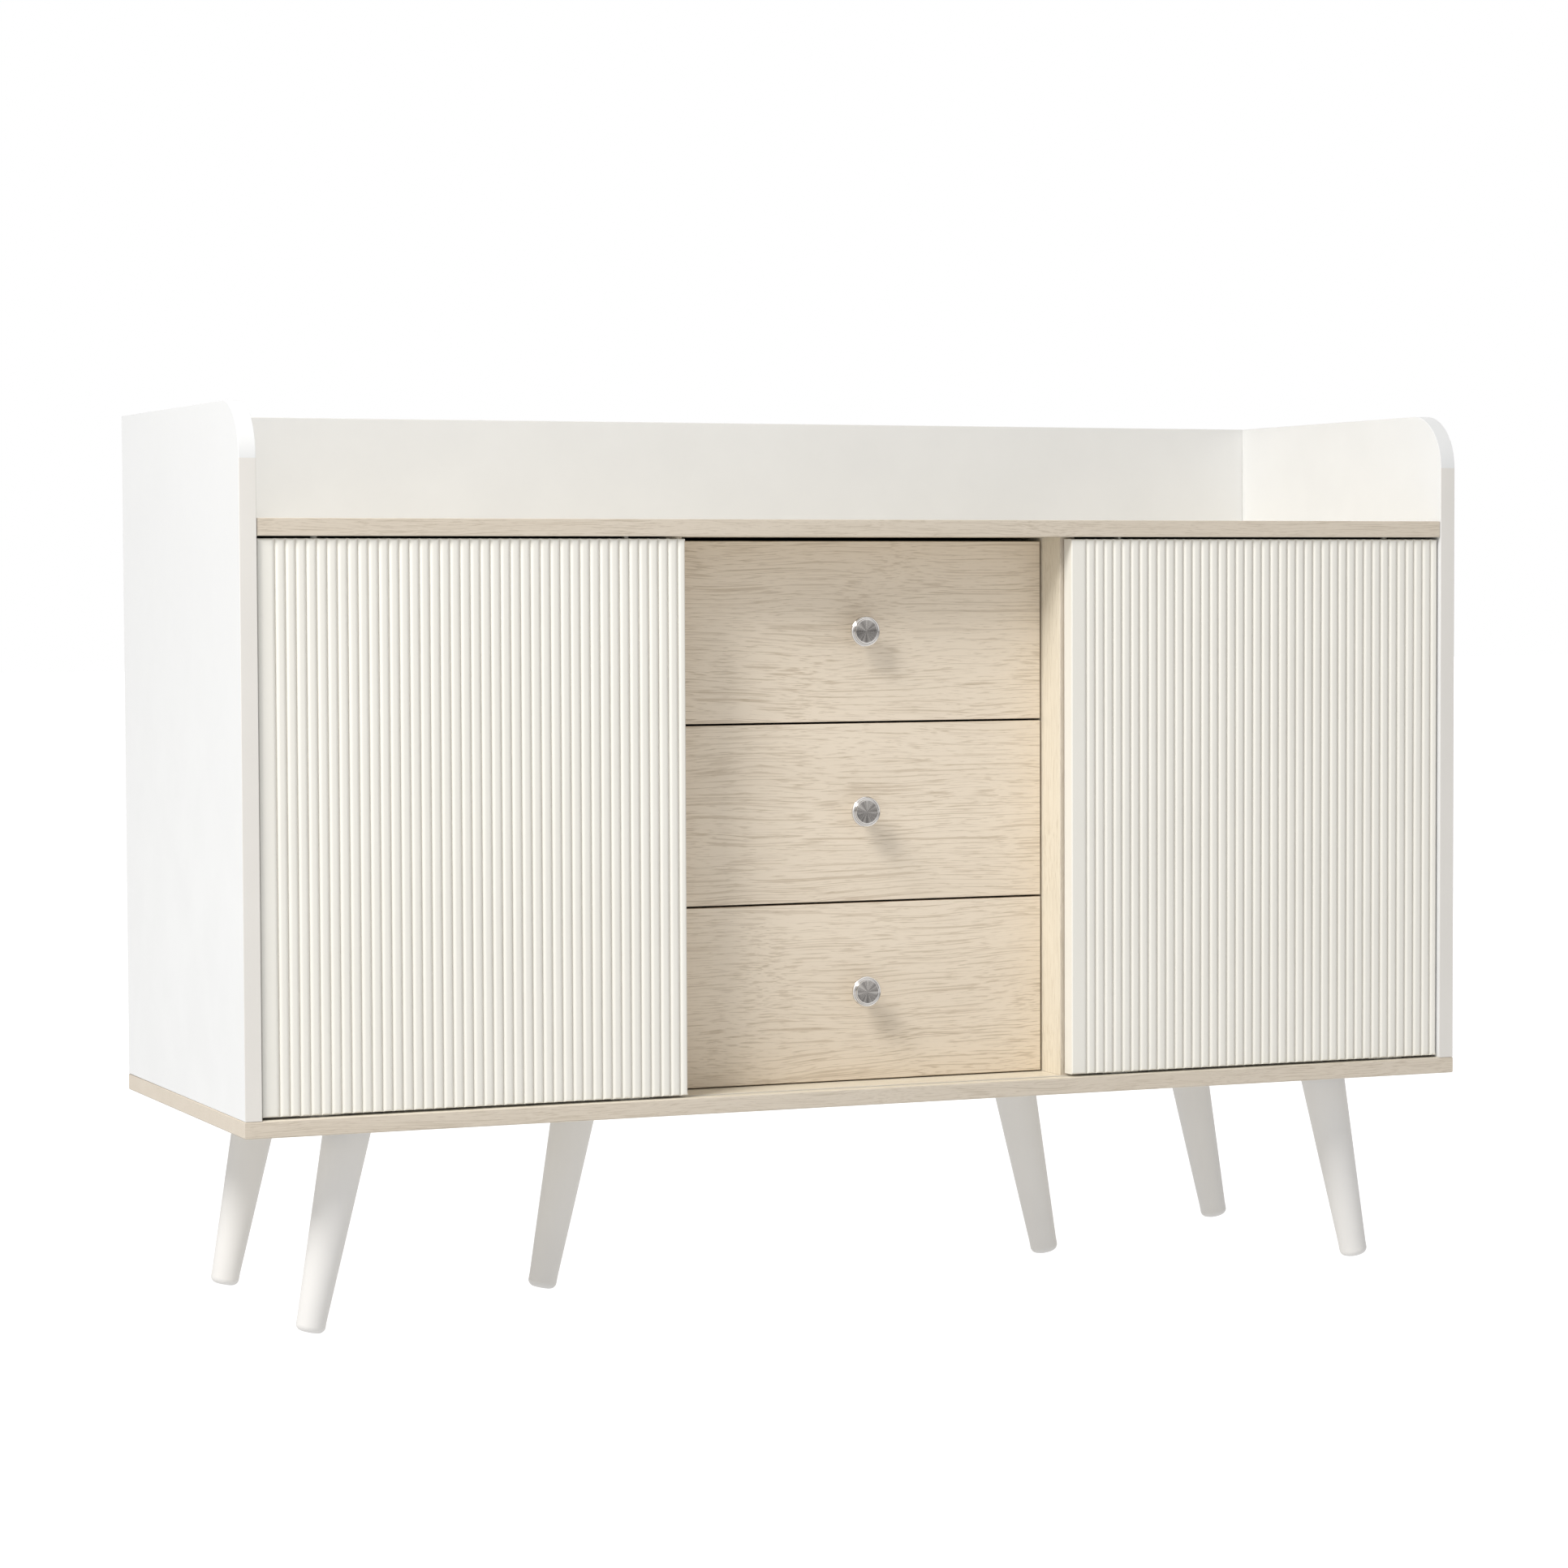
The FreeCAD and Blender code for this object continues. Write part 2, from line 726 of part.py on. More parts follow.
def make_door_panel(side):
    """A panel with half-round ribs. Its rollers and guides are let into its back."""
    word = sides[side]
    label = f"door_{word}_panel"
    body = new_body(f"door_{word}_body")
    wide, thick, tall = door_width, size["door_thick"], door_high - door_low
    left, right, deep = size["door_left_strip"], size["door_right_strip"], size["rib_depth"]
    sketch = sketch_on(body, "XY_Plane")
    outline(
        sketch,
        [
            (0, 0),
            (left, 0),
            (left, deep),
            (wide - right, deep),
            (wide - right, 0),
            (wide, 0),
            (wide, thick),
            (0, thick),
        ],
    )
    pad(body, sketch, tall)
    pitch = (wide - left - right) / size["rib_count"]
    rib = sketch_on(body, "XY_Plane")
    low = left + size["rib_gap"] / 2
    high = left + pitch - size["rib_gap"] / 2
    ends = [FreeCAD.Vector(low.value, deep.value, 0), FreeCAD.Vector(high.value, deep.value, 0)]
    crest = FreeCAD.Vector((low.value + high.value) / 2, 0, 0)
    rib.addGeometry(Part.LineSegment(ends[0], ends[1]))
    rib.addGeometry(Part.Arc(ends[0], crest, ends[1]))
    rib.addConstraint(Sketcher.Constraint("Coincident", 0, 1, 1, 1))
    rib.addConstraint(Sketcher.Constraint("Coincident", 0, 2, 1, 2))
    pin_point(rib, 0, 1, low, deep)
    pin_point(rib, 0, 2, high, deep)
    rib_half = (high - low) / 2
    radius = (rib_half * rib_half + deep * deep) / (2 * deep)
    index = rib.addConstraint(Sketcher.Constraint("Radius", 1, radius.value))
    rib.setExpression(f"Constraints[{index}]", radius.formula)
    one_rib = pad(body, rib, tall)
    ribs = body.newObject("PartDesign::LinearPattern", f"door_{word}_ribs")
    ribs.Originals = [one_rib]
    ribs.Direction = (rib, ["H_Axis"])
    bind(ribs, "Length", pitch * (size["rib_count"] - 1))
    bind(ribs, "Occurrences", size["rib_count"])
    body.Tip = ribs
    doc.recompute()
    place(body, span(side, door_inner, door_outer)[0], door_front, door_low)
    finish(label, body)


def roller_places(side):
    """The inner and outer roller's X on one door."""
    return (
        ("inner", side * (door_inner + size["roller_inset"])),
        ("outer", side * (door_outer - size["roller_inset"])),
    )


def make_door_hardware(side):
    word = sides[side]
    pocket_y = (door_back - size["housing_depth"], door_back)
    housings, guides = [], []
    for place_name, x in roller_places(side):
        half = size["housing_length"] / 2
        across = (x - half, x + half)
        housing_top = door_low + size["housing_height"]
        shell = block("housing", across, pocket_y, (door_low - size["housing_lip"], housing_top))
        slot_half = size["roller_radius"] + size["roller_play"]
        slot_y = size["roller_width"] / 2 + size["roller_play"]
        slot = block(
            "roller_slot",
            (x - slot_half, x + slot_half),
            (track_y - slot_y, track_y + slot_y),
            (door_low - size["housing_lip"], roller_z + slot_half),
        )
        axle_half = size["housing_depth"] / 2
        eye_radius = size["axle_radius"] + size["axle_play"]
        eye = rod(
            "axle_eye", (x, track_y - axle_half, roller_z), "+y", eye_radius, size["housing_depth"]
        )
        housings.append(cut("roller_housing", shell, [fused("housing_space", [slot, eye])]))
        bore(f"door_{word}_panel", block("housing_pocket", across, pocket_y, (door_low, housing_top)))

        wheel_half = size["roller_width"] / 2
        wheel = rod(
            "wheel", (x, track_y - wheel_half, roller_z), "+y", size["roller_radius"], size["roller_width"]
        )
        axle_length = size["housing_depth"] - 2 * size["axle_end_gap"]
        axle = rod(
            "axle", (x, track_y - axle_length / 2, roller_z), "+y", size["axle_radius"], axle_length
        )
        finish(f"door_{word}_roller_{place_name}", fused("roller", [wheel, axle]))

        guide_half = size["guide_length"] / 2
        guide_low = door_high - size["guide_height"]
        guide_across = (x - guide_half, x + guide_half)
        body = block("guide_body", guide_across, pocket_y, (guide_low, door_high))
        pin = rod(
            "guide_pin", (x, track_y, door_high), "+z", size["guide_pin_radius"], size["guide_reach"]
        )
        guides.append(fused("top_guide", [body, pin]))
        bore(f"door_{word}_panel", block("guide_pocket", guide_across, pocket_y, (guide_low, door_high)))
    finish(f"door_{word}_roller_housings", together("housings", housings))
    finish(f"door_{word}_top_guides", together("guides", guides))


def make_track():
    """A plastic channel let into the base, in which the doors' rollers run."""
    body = new_body("track_body")
    sketch = sketch_on(body, "YZ_Plane")
    wide, deep, wall = size["track_width"], size["track_depth"], size["track_wall"]
    outline(
        sketch,
        [
            (0, 0),
            (wide, 0),
            (wide, deep),
            (wide - wall, deep),
            (wide - wall, wall),
            (wall, wall),
            (wall, deep),
            (0, deep),
        ],
    )
    pad(body, sketch, 2 * side_inner)
    place(body, -side_inner, track_y - wide / 2, base_top - deep)
    finish("bottom_track", body)


# Drawers ------------------------------------------------------------------------


def make_knob(label, z):
    """A turned knob with a wide rim and a shallow dished face."""
    body = new_body(label + "_body")
    sketch = sketch_on(body, "XZ_Plane")
    outline(
        sketch,
        [
            (0, 0),
            (size["knob_base_radius"], 0),
            (size["knob_base_radius"], size["knob_base_thick"]),
            (size["knob_neck_radius"], size["knob_neck_low"]),
            (size["knob_neck_radius"], size["knob_neck_high"]),
            (size["knob_radius"], size["knob_rim_low"]),
            (size["knob_radius"], size["knob_rim_high"]),
            (size["knob_face_radius"], size["knob_reach"]),
            (0, size["knob_reach"] - size["knob_dish"]),
        ],
    )
    revolve(body, sketch)
    body.Placement = FreeCAD.Placement(FreeCAD.Vector(), turns["-y"])
    place(body, as_size(0), drawer_front, z)
    thread = size["knob_screw_radius"] + size["screw_play"]
    start = (as_size(0), drawer_front, z)
    bore(label, rod("knob_thread", start, "-y", thread, size["knob_screw_bite"] + 1))
    finish(label, body)


def make_runner_member(name, side, web, flanges, centre, height, start):
    """A channel section: a web between two X distances and flanges out to another."""
    half, metal = height / 2, size["runner_metal"]
    along = (start, box_rear)
    pieces = [block("web", span(side, *web), along, (centre - half, centre + half))]
    for low in (centre - half, centre + half - metal):
        pieces.append(block("flange", span(side, *flanges), along, (low, low + metal)))
    return fused(name, pieces)


def make_cage(side, centre):
    """A ball cage: a strip with two flanges that carry the balls."""
    metal, half = size["cage_metal"], size["cage_height"] / 2
    web_far = opening_half - size["runner_metal"] - size["cage_from_web"]
    web_near = web_far - metal
    start = box_front + size["cage_start"]
    along = (start, start + size["cage_length"])
    pieces = [block("cage_web", span(side, web_near, web_far), along, (centre - half, centre + half))]
    ball_x = opening_half - size["ball_centre"]
    flange_near = ball_x - size["ball_radius"]
    for low, ball_z in (
        (centre - half, centre - half + metal / 2),
        (centre + half - metal, centre + half - metal / 2),
    ):
        pieces.append(block("cage_flange", span(side, flange_near, web_far), along, (low, low + metal)))
        for i in range(ball_count):
            ball = doc.addObject("Part::Sphere", "ball")
            bind(ball, "Radius", size["ball_radius"])
            y = start + size["cage_length"] * ((i + 0.5) / ball_count)
            pieces.append(place(ball, side * ball_x, y, ball_z))
    return fused("cage", pieces)


def make_drawer(name, level):
    step = front_height + size["drawer_gap"]
    front_low = base_top + size["drawer_low_gap"] + level * step
    front_high = front_low + front_height
    if name == drawer_names[-1]:
        front_high = front_high + size["top_front_extra"]
    front_half = opening_half - size["drawer_side_gap"]
    side_low = front_low + size["box_lift"]
    side_high = front_low + front_height - size["box_headroom"]
    let_in, slack = size["bottom_let_in"], size["let_in_play"]
    groove = (side_low + size["bottom_lift"], side_low + size["bottom_lift"] + size["bottom_thick"] + 2 * slack)
    knob_z = front_low + size["knob_rise"]
    label = f"drawer_{name}"

    groove_half = box_inner + let_in
    front_groove = block(
        "front_groove", (-groove_half, groove_half), (box_front - let_in, box_front), groove
    )
    screw_hole = rod(
        "front_hole",
        (as_size(0), drawer_front, knob_z),
        "+y",
        size["knob_screw_radius"] + play,
        size["front_thick"],
    )
    bore(f"{label}_front", front_groove, screw_hole)
    face = block("face", (-front_half, front_half), (drawer_front, box_front), (front_low, front_high))
    finish(f"{label}_front", face)

    cheeks, members = [], []
    centre = side_low + size["runner_rise"]
    for side in sides:
        cheek = block("cheek", span(side, box_inner, box_outer), (box_front, box_rear), (side_low, side_high))
        side_groove = block("side_groove", span(side, box_inner, groove_half), (box_front, box_rear), groove)
        cheeks.append(cut("drawer_side", cheek, [side_groove]))
        members.append(
            make_runner_member(
                "drawer_member",
                side,
                (box_outer, box_outer + size["runner_metal"]),
                (box_outer, box_outer + size["inner_width"]),
                centre,
                size["inner_height"],
                box_front + size["runner_setback"],
            )
        )
    finish(f"{label}_sides", together("cheeks", cheeks))
    back = block("end", (-box_inner, box_inner), (box_rear - size["box_thick"], box_rear), (groove[1], side_high))
    finish(f"{label}_back", back)
    sheet_half = groove_half - slack
    sheet_low = groove[0] + slack
    sheet = block(
        "sheet",
        (-sheet_half, sheet_half),
        (box_front - let_in + slack, box_rear),
        (sheet_low, sheet_low + size["bottom_thick"]),
    )
    finish(f"{label}_bottom", sheet)
    make_knob(f"{label}_knob", knob_z)

    screw_start = (as_size(0), box_front, knob_z)
    shank_length = size["front_thick"] + size["knob_screw_bite"]
    shank = rod("knob_shank", screw_start, "-y", size["knob_screw_radius"], shank_length)
    head = rod("knob_head", screw_start, "+y", size["knob_screw_head_radius"], size["knob_screw_head"])
    finish(f"{label}_knob_screw", fused("knob_screw", [shank, head]))
    finish(f"{label}_runners", together("drawer_members", members))
    cages = [make_cage(side, centre) for side in sides]
    finish(f"{label}_ball_cages", together("cages", cages))
    return centre


def make_drawers():
    fixed = []
    for level, name in enumerate(drawer_names):
        centre = make_drawer(name, level)
        for side in sides:
            fixed.append(
                make_runner_member(
                    "cabinet_member",
                    side,
                    (opening_half - size["runner_metal"], opening_half),
                    (opening_half - size["runner_width"], opening_half),
                    centre,
                    size["runner_height"],
                    box_front + size["runner_setback"],
                )
            )
    finish("cabinet_runners", together("cabinet_members", fixed))


# The whole sideboard --------------------------------------------------------------


def export():
    """Writes each sub-part to its own file, once nothing in the document has failed."""
    doc.recompute()
    failed = [o.Name for o in doc.Objects if {"Invalid", "Error"} & set(o.State)]
    for part in parts:
        shape = part.Shape
        if shape.isNull() or not shape.isValid() or not shape.Solids:
            failed.append(part.Label)
    if failed or cutters:
        raise RuntimeError(f"failed: {failed}, cutters left over: {sorted(cutters)}")
    os.makedirs("parts", exist_ok=True)
    for part in parts:
        part.Shape.exportStep(f"parts/{part.Label}.step")
    print(len(parts), "sub-parts written")


bore_shelf_holes()
make_cam_fittings()
make_dowels()
make_legs()
make_boards()
make_shelves()
make_track()
make_back_screws()
for door_side in sides:
    make_door_hardware(door_side)
    make_door_panel(door_side)
make_drawers()
export()
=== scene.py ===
import math

import bmesh
import bpy
from mathutils import Matrix, Vector


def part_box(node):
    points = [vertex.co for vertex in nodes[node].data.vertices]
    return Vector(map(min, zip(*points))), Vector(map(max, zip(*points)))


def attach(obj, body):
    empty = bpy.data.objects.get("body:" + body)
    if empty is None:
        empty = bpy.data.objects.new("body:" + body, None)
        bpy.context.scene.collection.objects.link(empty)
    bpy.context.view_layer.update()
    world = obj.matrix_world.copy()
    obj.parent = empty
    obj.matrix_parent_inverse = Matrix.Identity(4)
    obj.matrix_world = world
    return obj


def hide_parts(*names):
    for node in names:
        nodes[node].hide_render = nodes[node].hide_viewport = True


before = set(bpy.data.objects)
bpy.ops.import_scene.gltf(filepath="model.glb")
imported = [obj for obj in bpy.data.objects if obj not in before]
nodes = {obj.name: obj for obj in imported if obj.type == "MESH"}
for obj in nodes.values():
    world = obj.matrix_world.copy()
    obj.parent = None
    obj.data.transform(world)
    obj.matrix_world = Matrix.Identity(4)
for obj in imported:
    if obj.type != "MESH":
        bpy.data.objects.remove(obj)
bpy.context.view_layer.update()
sides = {"left": -1, "right": 1}
drawerNames = ("bottom", "middle", "top")
mm = 0.001
across, along, up = Vector((1, 0, 0)), Vector((0, 1, 0)), Vector((0, 0, 1))


# Shader helpers: every node is made with its settings and its inputs in one call.


def addNode(tree, kind, inputs=None, **settings):
    node = tree.nodes.new(kind)
    for name, value in settings.items():
        setattr(node, name, value)
    for name, value in (inputs or {}).items():
        socket = node.inputs[name]
        if isinstance(value, bpy.types.NodeSocket):
            tree.links.new(value, socket)
        else:
            socket.default_value = value
    return node


def blendColours(tree, amount, first, second):
    mix = addNode(tree, "ShaderNodeMix", {0: amount, 6: first, 7: second}, data_type="RGBA")
    return mix.outputs[2]


def sum2(tree, first, second):
    return addNode(tree, "ShaderNodeMath", {0: first, 1: second}, operation="ADD").outputs[0]


def times(tree, first, second):
    return addNode(tree, "ShaderNodeMath", {0: first, 1: second}, operation="MULTIPLY").outputs[0]


def remap(tree, value, fromLow, fromHigh, toLow, toHigh):
    limits = {"From Min": fromLow, "From Max": fromHigh, "To Min": toLow, "To Max": toHigh}
    return addNode(tree, "ShaderNodeMapRange", {"Value": value, **limits}).outputs["Result"]


def stretched(tree, vector, scale):
    return addNode(tree, "ShaderNodeMapping", {"Vector": vector, "Scale": scale}).outputs["Vector"]


def newGroup(name, inputs, outputs):
    tree = bpy.data.node_groups.new(name, "ShaderNodeTree")
    for label, kind in inputs:
        tree.interface.new_socket(label, in_out="INPUT", socket_type="NodeSocket" + kind)
    for label, kind in outputs:
        tree.interface.new_socket(label, in_out="OUTPUT", socket_type="NodeSocket" + kind)
    return tree, tree.nodes.new("NodeGroupInput").outputs, tree.nodes.new("NodeGroupOutput").inputs


def makeOakGrain():
    # Grain runs along X of the vector: broad tone, short wavy strokes in drifts, and fine pores.
    tree, given, out = newGroup(
        "oakGrain",
        [
            ("Vector", "Vector"),
            ("Light", "Color"),
            ("Dark", "Color"),
            ("Pore", "Color"),
            ("Strength", "Float"),
        ],
        [("Color", "Color"), ("Roughness", "Float"), ("Height", "Float")],
    )

    def noise(vector, scale, detail):
        inputs = {"Vector": stretched(tree, vector, scale), "Scale": 1, "Detail": detail}
        return addNode(tree, "ShaderNodeTexNoise", inputs).outputs

    def vectorMath(operation, first, second):
        pair = {0: first, 1: second}
        return addNode(tree, "ShaderNodeVectorMath", pair, operation=operation).outputs[0]

    bend = noise(given["Vector"], (3.5, 7, 7), 2)["Color"]
    sway = vectorMath("MULTIPLY", bend, (0, 0.03, 0.03))
    wavy = vectorMath("ADD", given["Vector"], sway)
    tone = remap(tree, noise(wavy, (1.5, 24, 24), 3)["Fac"], 0.32, 0.68, 0, 1)
    drift = remap(tree, noise(wavy, (4, 14, 14), 2)["Fac"], 0.36, 0.60, 0.6, 1)
    strokes = remap(tree, noise(wavy, (6, 720, 720), 1)["Fac"], 0.53, 0.65, 0, 1)
    pores = remap(tree, noise(wavy, (60, 900, 900), 2)["Fac"], 0.56, 0.70, 0, 0.5)
    share = sum2(tree, times(tree, tone, 0.16), times(tree, times(tree, strokes, drift), 0.72))
    share = times(tree, share, given["Strength"])
    wood = blendColours(tree, share, given["Light"], given["Dark"])
    poreShare = times(tree, pores, given["Strength"])
    tree.links.new(blendColours(tree, poreShare, wood, given["Pore"]), out["Color"])
    tree.links.new(remap(tree, share, 0, 1, 0.42, 0.58), out["Roughness"])
    depth = sum2(tree, times(tree, share, -0.6), times(tree, poreShare, -0.6))
    tree.links.new(depth, out["Height"])
    return tree


def makeFineMottle():
    # A slight drift of tone and gloss with a faint orange-peel surface.
    tree, given, out = newGroup(
        "fineMottle",
        [
            ("Vector", "Vector"),
            ("Light", "Color"),
            ("Dark", "Color"),
            ("Gloss", "Float"),
            ("Grit", "Float"),
        ],
        [("Color", "Color"), ("Roughness", "Float"), ("Height", "Float")],
    )
    drift = addNode(tree, "ShaderNodeTexNoise", {"Vector": given["Vector"], "Scale": 14, "Detail": 4})
    speck = addNode(tree, "ShaderNodeTexNoise", {"Vector": given["Vector"], "Scale": 900, "Detail": 2})
    share = remap(tree, drift.outputs["Fac"], 0.35, 0.65, 0, 1)
    gritty = times(tree, remap(tree, speck.outputs["Fac"], 0.4, 0.62, 0, 1), given["Grit"])
    darkness = sum2(tree, times(tree, share, 0.6), gritty)
    tree.links.new(blendColours(tree, darkness, given["Light"], given["Dark"]), out["Color"])
    tree.links.new(sum2(tree, given["Gloss"], times(tree, share, 0.06)), out["Roughness"])
    tree.links.new(speck.outputs["Fac"], out["Height"])
    return tree


def makeBrushLines():
    # Fine parallel scratches along X of the vector.
    tree, given, out = newGroup(
        "brushLines",
        [("Vector", "Vector"), ("Light", "Color"), ("Dark", "Color"), ("Gloss", "Float")],
        [("Color", "Color"), ("Roughness", "Float"), ("Height", "Float")],
    )
    drawnOut = stretched(tree, given["Vector"], (30, 2600, 2600))
    lines = addNode(tree, "ShaderNodeTexNoise", {"Vector": drawnOut, "Scale": 1, "Detail": 3})
    cloud = addNode(tree, "ShaderNodeTexNoise", {"Vector": given["Vector"], "Scale": 60, "Detail": 3})
    share = remap(tree, lines.outputs["Fac"], 0.35, 0.65, 0, 1)
    tree.links.new(blendColours(tree, share, given["Light"], given["Dark"]), out["Color"])
    rough = sum2(tree, given["Gloss"], times(tree, share, 0.12))
    tree.links.new(sum2(tree, rough, times(tree, cloud.outputs["Fac"], 0.08)), out["Roughness"])
    tree.links.new(share, out["Height"])
    return tree


groups = {"oakGrain": makeOakGrain(), "fineMottle": makeFineMottle(), "brushLines": makeBrushLines()}


def newMaterial(name, groupName, values, bump, turn=(0, 0, 0), shift=(0, 0, 0), scale=1, **shader):
    # One of the shared groups on Object coordinates, feeding a Principled shader.
    material = bpy.data.materials.new(name)
    material.use_nodes = True
    tree = material.node_tree
    principled = tree.nodes["Principled BSDF"]
    for label, value in shader.items():
        principled.inputs[label.replace("_", " ")].default_value = value
    place = addNode(tree, "ShaderNodeTexCoord").outputs["Object"]
    inputs = {"Vector": place, "Rotation": turn, "Location": shift, "Scale": (scale, scale, scale)}
    vector = addNode(tree, "ShaderNodeMapping", inputs).outputs["Vector"]
    effect = addNode(tree, "ShaderNodeGroup", node_tree=groups[groupName])
    tree.links.new(vector, effect.inputs["Vector"])
    for label, value in values.items():
        effect.inputs[label].default_value = value
    tree.links.new(effect.outputs["Color"], principled.inputs["Base Color"])
    tree.links.new(effect.outputs["Roughness"], principled.inputs["Roughness"])
    strength, distance = bump
    height = {"Height": effect.outputs["Height"], "Strength": strength, "Distance": distance * mm}
    relief = addNode(tree, "ShaderNodeBump", height)
    tree.links.new(relief.outputs["Normal"], principled.inputs["Normal"])
    return material


upright = (0, math.radians(90), 0)  # turns a grain along X to run along Z
oakTones = {
    "board": {
        "Light": (0.79, 0.73, 0.61, 1),
        "Dark": (0.55, 0.47, 0.35, 1),
        "Pore": (0.40, 0.32, 0.22, 1),
        "Strength": 0.6,
    },
    "edge": {
        "Light": (0.67, 0.595, 0.495, 1),
        "Dark": (0.43, 0.36, 0.27, 1),
        "Pore": (0.36, 0.29, 0.22, 1),
        "Strength": 0.65,
    },
    "front": {
        "Light": (0.815, 0.712, 0.578, 1),
        "Dark": (0.50, 0.405, 0.295, 1),
        "Pore": (0.42, 0.33, 0.22, 1),
        "Strength": 0.8,
    },
}
paints = {  # light and dark tone, roughness and how gritty it is
    "whiteBoard": ((0.80, 0.805, 0.805, 1), (0.765, 0.77, 0.77, 1), 0.36, 0.04),
    "whiteEdge": ((0.76, 0.735, 0.695, 1), (0.73, 0.705, 0.665, 1), 0.30, 0.02),
    "doorFoil": ((0.83, 0.81, 0.75, 1), (0.81, 0.79, 0.73, 1), 0.38, 0.03),
    "legPaint": ((0.77, 0.755, 0.735, 1), (0.74, 0.725, 0.705, 1), 0.34, 0.02),
    "boxBoard": ((0.74, 0.73, 0.70, 1), (0.69, 0.68, 0.65, 1), 0.48, 0.15),
    "sheetFace": ((0.78, 0.77, 0.74, 1), (0.74, 0.73, 0.70, 1), 0.45, 0.10),
    "rawFibre": ((0.41, 0.29, 0.18, 1), (0.32, 0.215, 0.125, 1), 0.70, 0.45),
    "rawChip": ((0.60, 0.48, 0.33, 1), (0.40, 0.29, 0.18, 1), 0.75, 0.70),
    "nylon": ((0.78, 0.77, 0.73, 1), (0.72, 0.71, 0.66, 1), 0.42, 0.08),
    "track": ((0.74, 0.70, 0.62, 1), (0.69, 0.65, 0.57, 1), 0.40, 0.08),
    "zincCast": ((0.52, 0.51, 0.48, 1), (0.38, 0.37, 0.35, 1), 0.36, 0.40),
}
steels = {  # light and dark tone, and roughness
    "zincSteel": ((0.66, 0.66, 0.65, 1), (0.50, 0.50, 0.49, 1), 0.24),
    "ballSteel": ((0.72, 0.72, 0.72, 1), (0.62, 0.62, 0.62, 1), 0.08),
    "knobRim": ((0.74, 0.72, 0.70, 1), (0.69, 0.67, 0.65, 1), 0.03),
}
fibres = ("rawFibre", "rawChip")  # unpainted, so rougher and finer in pattern
reliefs = {  # bump strength and depth in mm
    "board": (0.25, 0.3),
    "edge": (0.2, 0.3),
    "front": (0.3, 0.3),
    "paint": (0.08, 0.2),
    "fibre": (0.4, 0.2),
    "steel": (0.05, 0.05),
}
fibreScale, edgeScale, zincMetal = 9, 1.7, 0.9


def makeMaterials():
    made = {}
    board, edge = oakTones["board"], oakTones["edge"]
    for label, turn in (("oakBoard", (0, 0, 0)), ("oakUpright", upright)):
        made[label] = newMaterial(label, "oakGrain", board, reliefs["board"], turn=turn, Coat_Weight=0.05)
    for label, turn in (("oakEdge", (0, 0, 0)), ("edgeUpright", upright)):
        made[label] = newMaterial(label, "oakGrain", edge, reliefs["edge"], turn=turn, scale=edgeScale)
    for level, name in enumerate(drawerNames):  # each front is cut from another place in the sheet
        label = f"oakFront_{name}"
        shift = (0.9 * level, 0.05, 0.31 * level)
        made[label] = newMaterial(label, "oakGrain", oakTones["front"], reliefs["front"], shift=shift)
    for name, tones in paints.items():
        values = dict(zip(("Light", "Dark", "Gloss", "Grit"), tones))
        metal = zincMetal if name == "zincCast" else 0.0
        bump, scale = (reliefs["fibre"], fibreScale) if name in fibres else (reliefs["paint"], 1)
        made[name] = newMaterial(name, "fineMottle", values, bump, scale=scale, Metallic=metal)
    for name, tones in steels.items():
        values = dict(zip(("Light", "Dark", "Gloss"), tones))
        made[name] = newMaterial(name, "brushLines", values, reliefs["steel"], Metallic=1.0)
    made["knobFace"] = makeKnobFace()
    return made


def makeKnobFace():
    # Spun steel: rings about the knob's own axis, which is where the piece's UV map is centred. Dark and
    # light sectors by angle about the axis are a painted reflection, standing in for the bow-tie highlight
    # of spun metal.
    material = bpy.data.materials.new("knobFace")
    material.use_nodes = True
    tree = material.node_tree
    principled = tree.nodes["Principled BSDF"]
    principled.inputs["Metallic"].default_value = 1.0
    principled.inputs["Anisotropic"].default_value = 0.92
    principled.inputs["Anisotropic Rotation"].default_value = 0.25
    uv = addNode(tree, "ShaderNodeUVMap", uv_map="spun").outputs["UV"]
    reach = addNode(tree, "ShaderNodeVectorMath", {0: uv}, operation="LENGTH").outputs["Value"]
    rings = addNode(
        tree, "ShaderNodeTexNoise", {"W": reach, "Scale": 5200, "Detail": 3}, noise_dimensions="1D"
    )
    split = addNode(tree, "ShaderNodeSeparateXYZ", {0: uv}).outputs
    # Painted reflection: the base colour turns darker and lighter by angle about the axis, a bow-tie
    # highlight painted into the colour.
    angle = addNode(tree, "ShaderNodeMath", {0: split["Y"], 1: split["X"]}, operation="ARCTAN2").outputs[0]
    paintedReflectionSector = addNode(
        tree, "ShaderNodeTexNoise", {"W": angle, "Scale": 2.2, "Detail": 4}, noise_dimensions="1D"
    )
    ringShare = remap(tree, rings.outputs["Fac"], 0.35, 0.65, 0, 1)
    paintedReflectionLobes = remap(tree, paintedReflectionSector.outputs["Fac"], 0.38, 0.62, 0, 1)
    # The base colour mixes the spun rings with the painted reflection lobes.
    share = sum2(tree, times(tree, ringShare, 0.3), times(tree, paintedReflectionLobes, 0.7))
    ringsAndPaintedReflection = blendColours(tree, share, (0.60, 0.57, 0.54, 1), (0.20, 0.185, 0.175, 1))
    tree.links.new(ringsAndPaintedReflection, principled.inputs["Base Color"])
    tree.links.new(remap(tree, ringShare, 0, 1, 0.20, 0.28), principled.inputs["Roughness"])
    relief = addNode(tree, "ShaderNodeBump", {"Height": ringShare, "Strength": 0.12, "Distance": 0.03 * mm})
    tree.links.new(relief.outputs["Normal"], principled.inputs["Normal"])
    spin = addNode(tree, "ShaderNodeTangent", direction_type="RADIAL", axis="Y")
    tree.links.new(spin.outputs["Tangent"], principled.inputs["Tangent"])
    return material


materials = makeMaterials()
print("materials made:", len(materials))


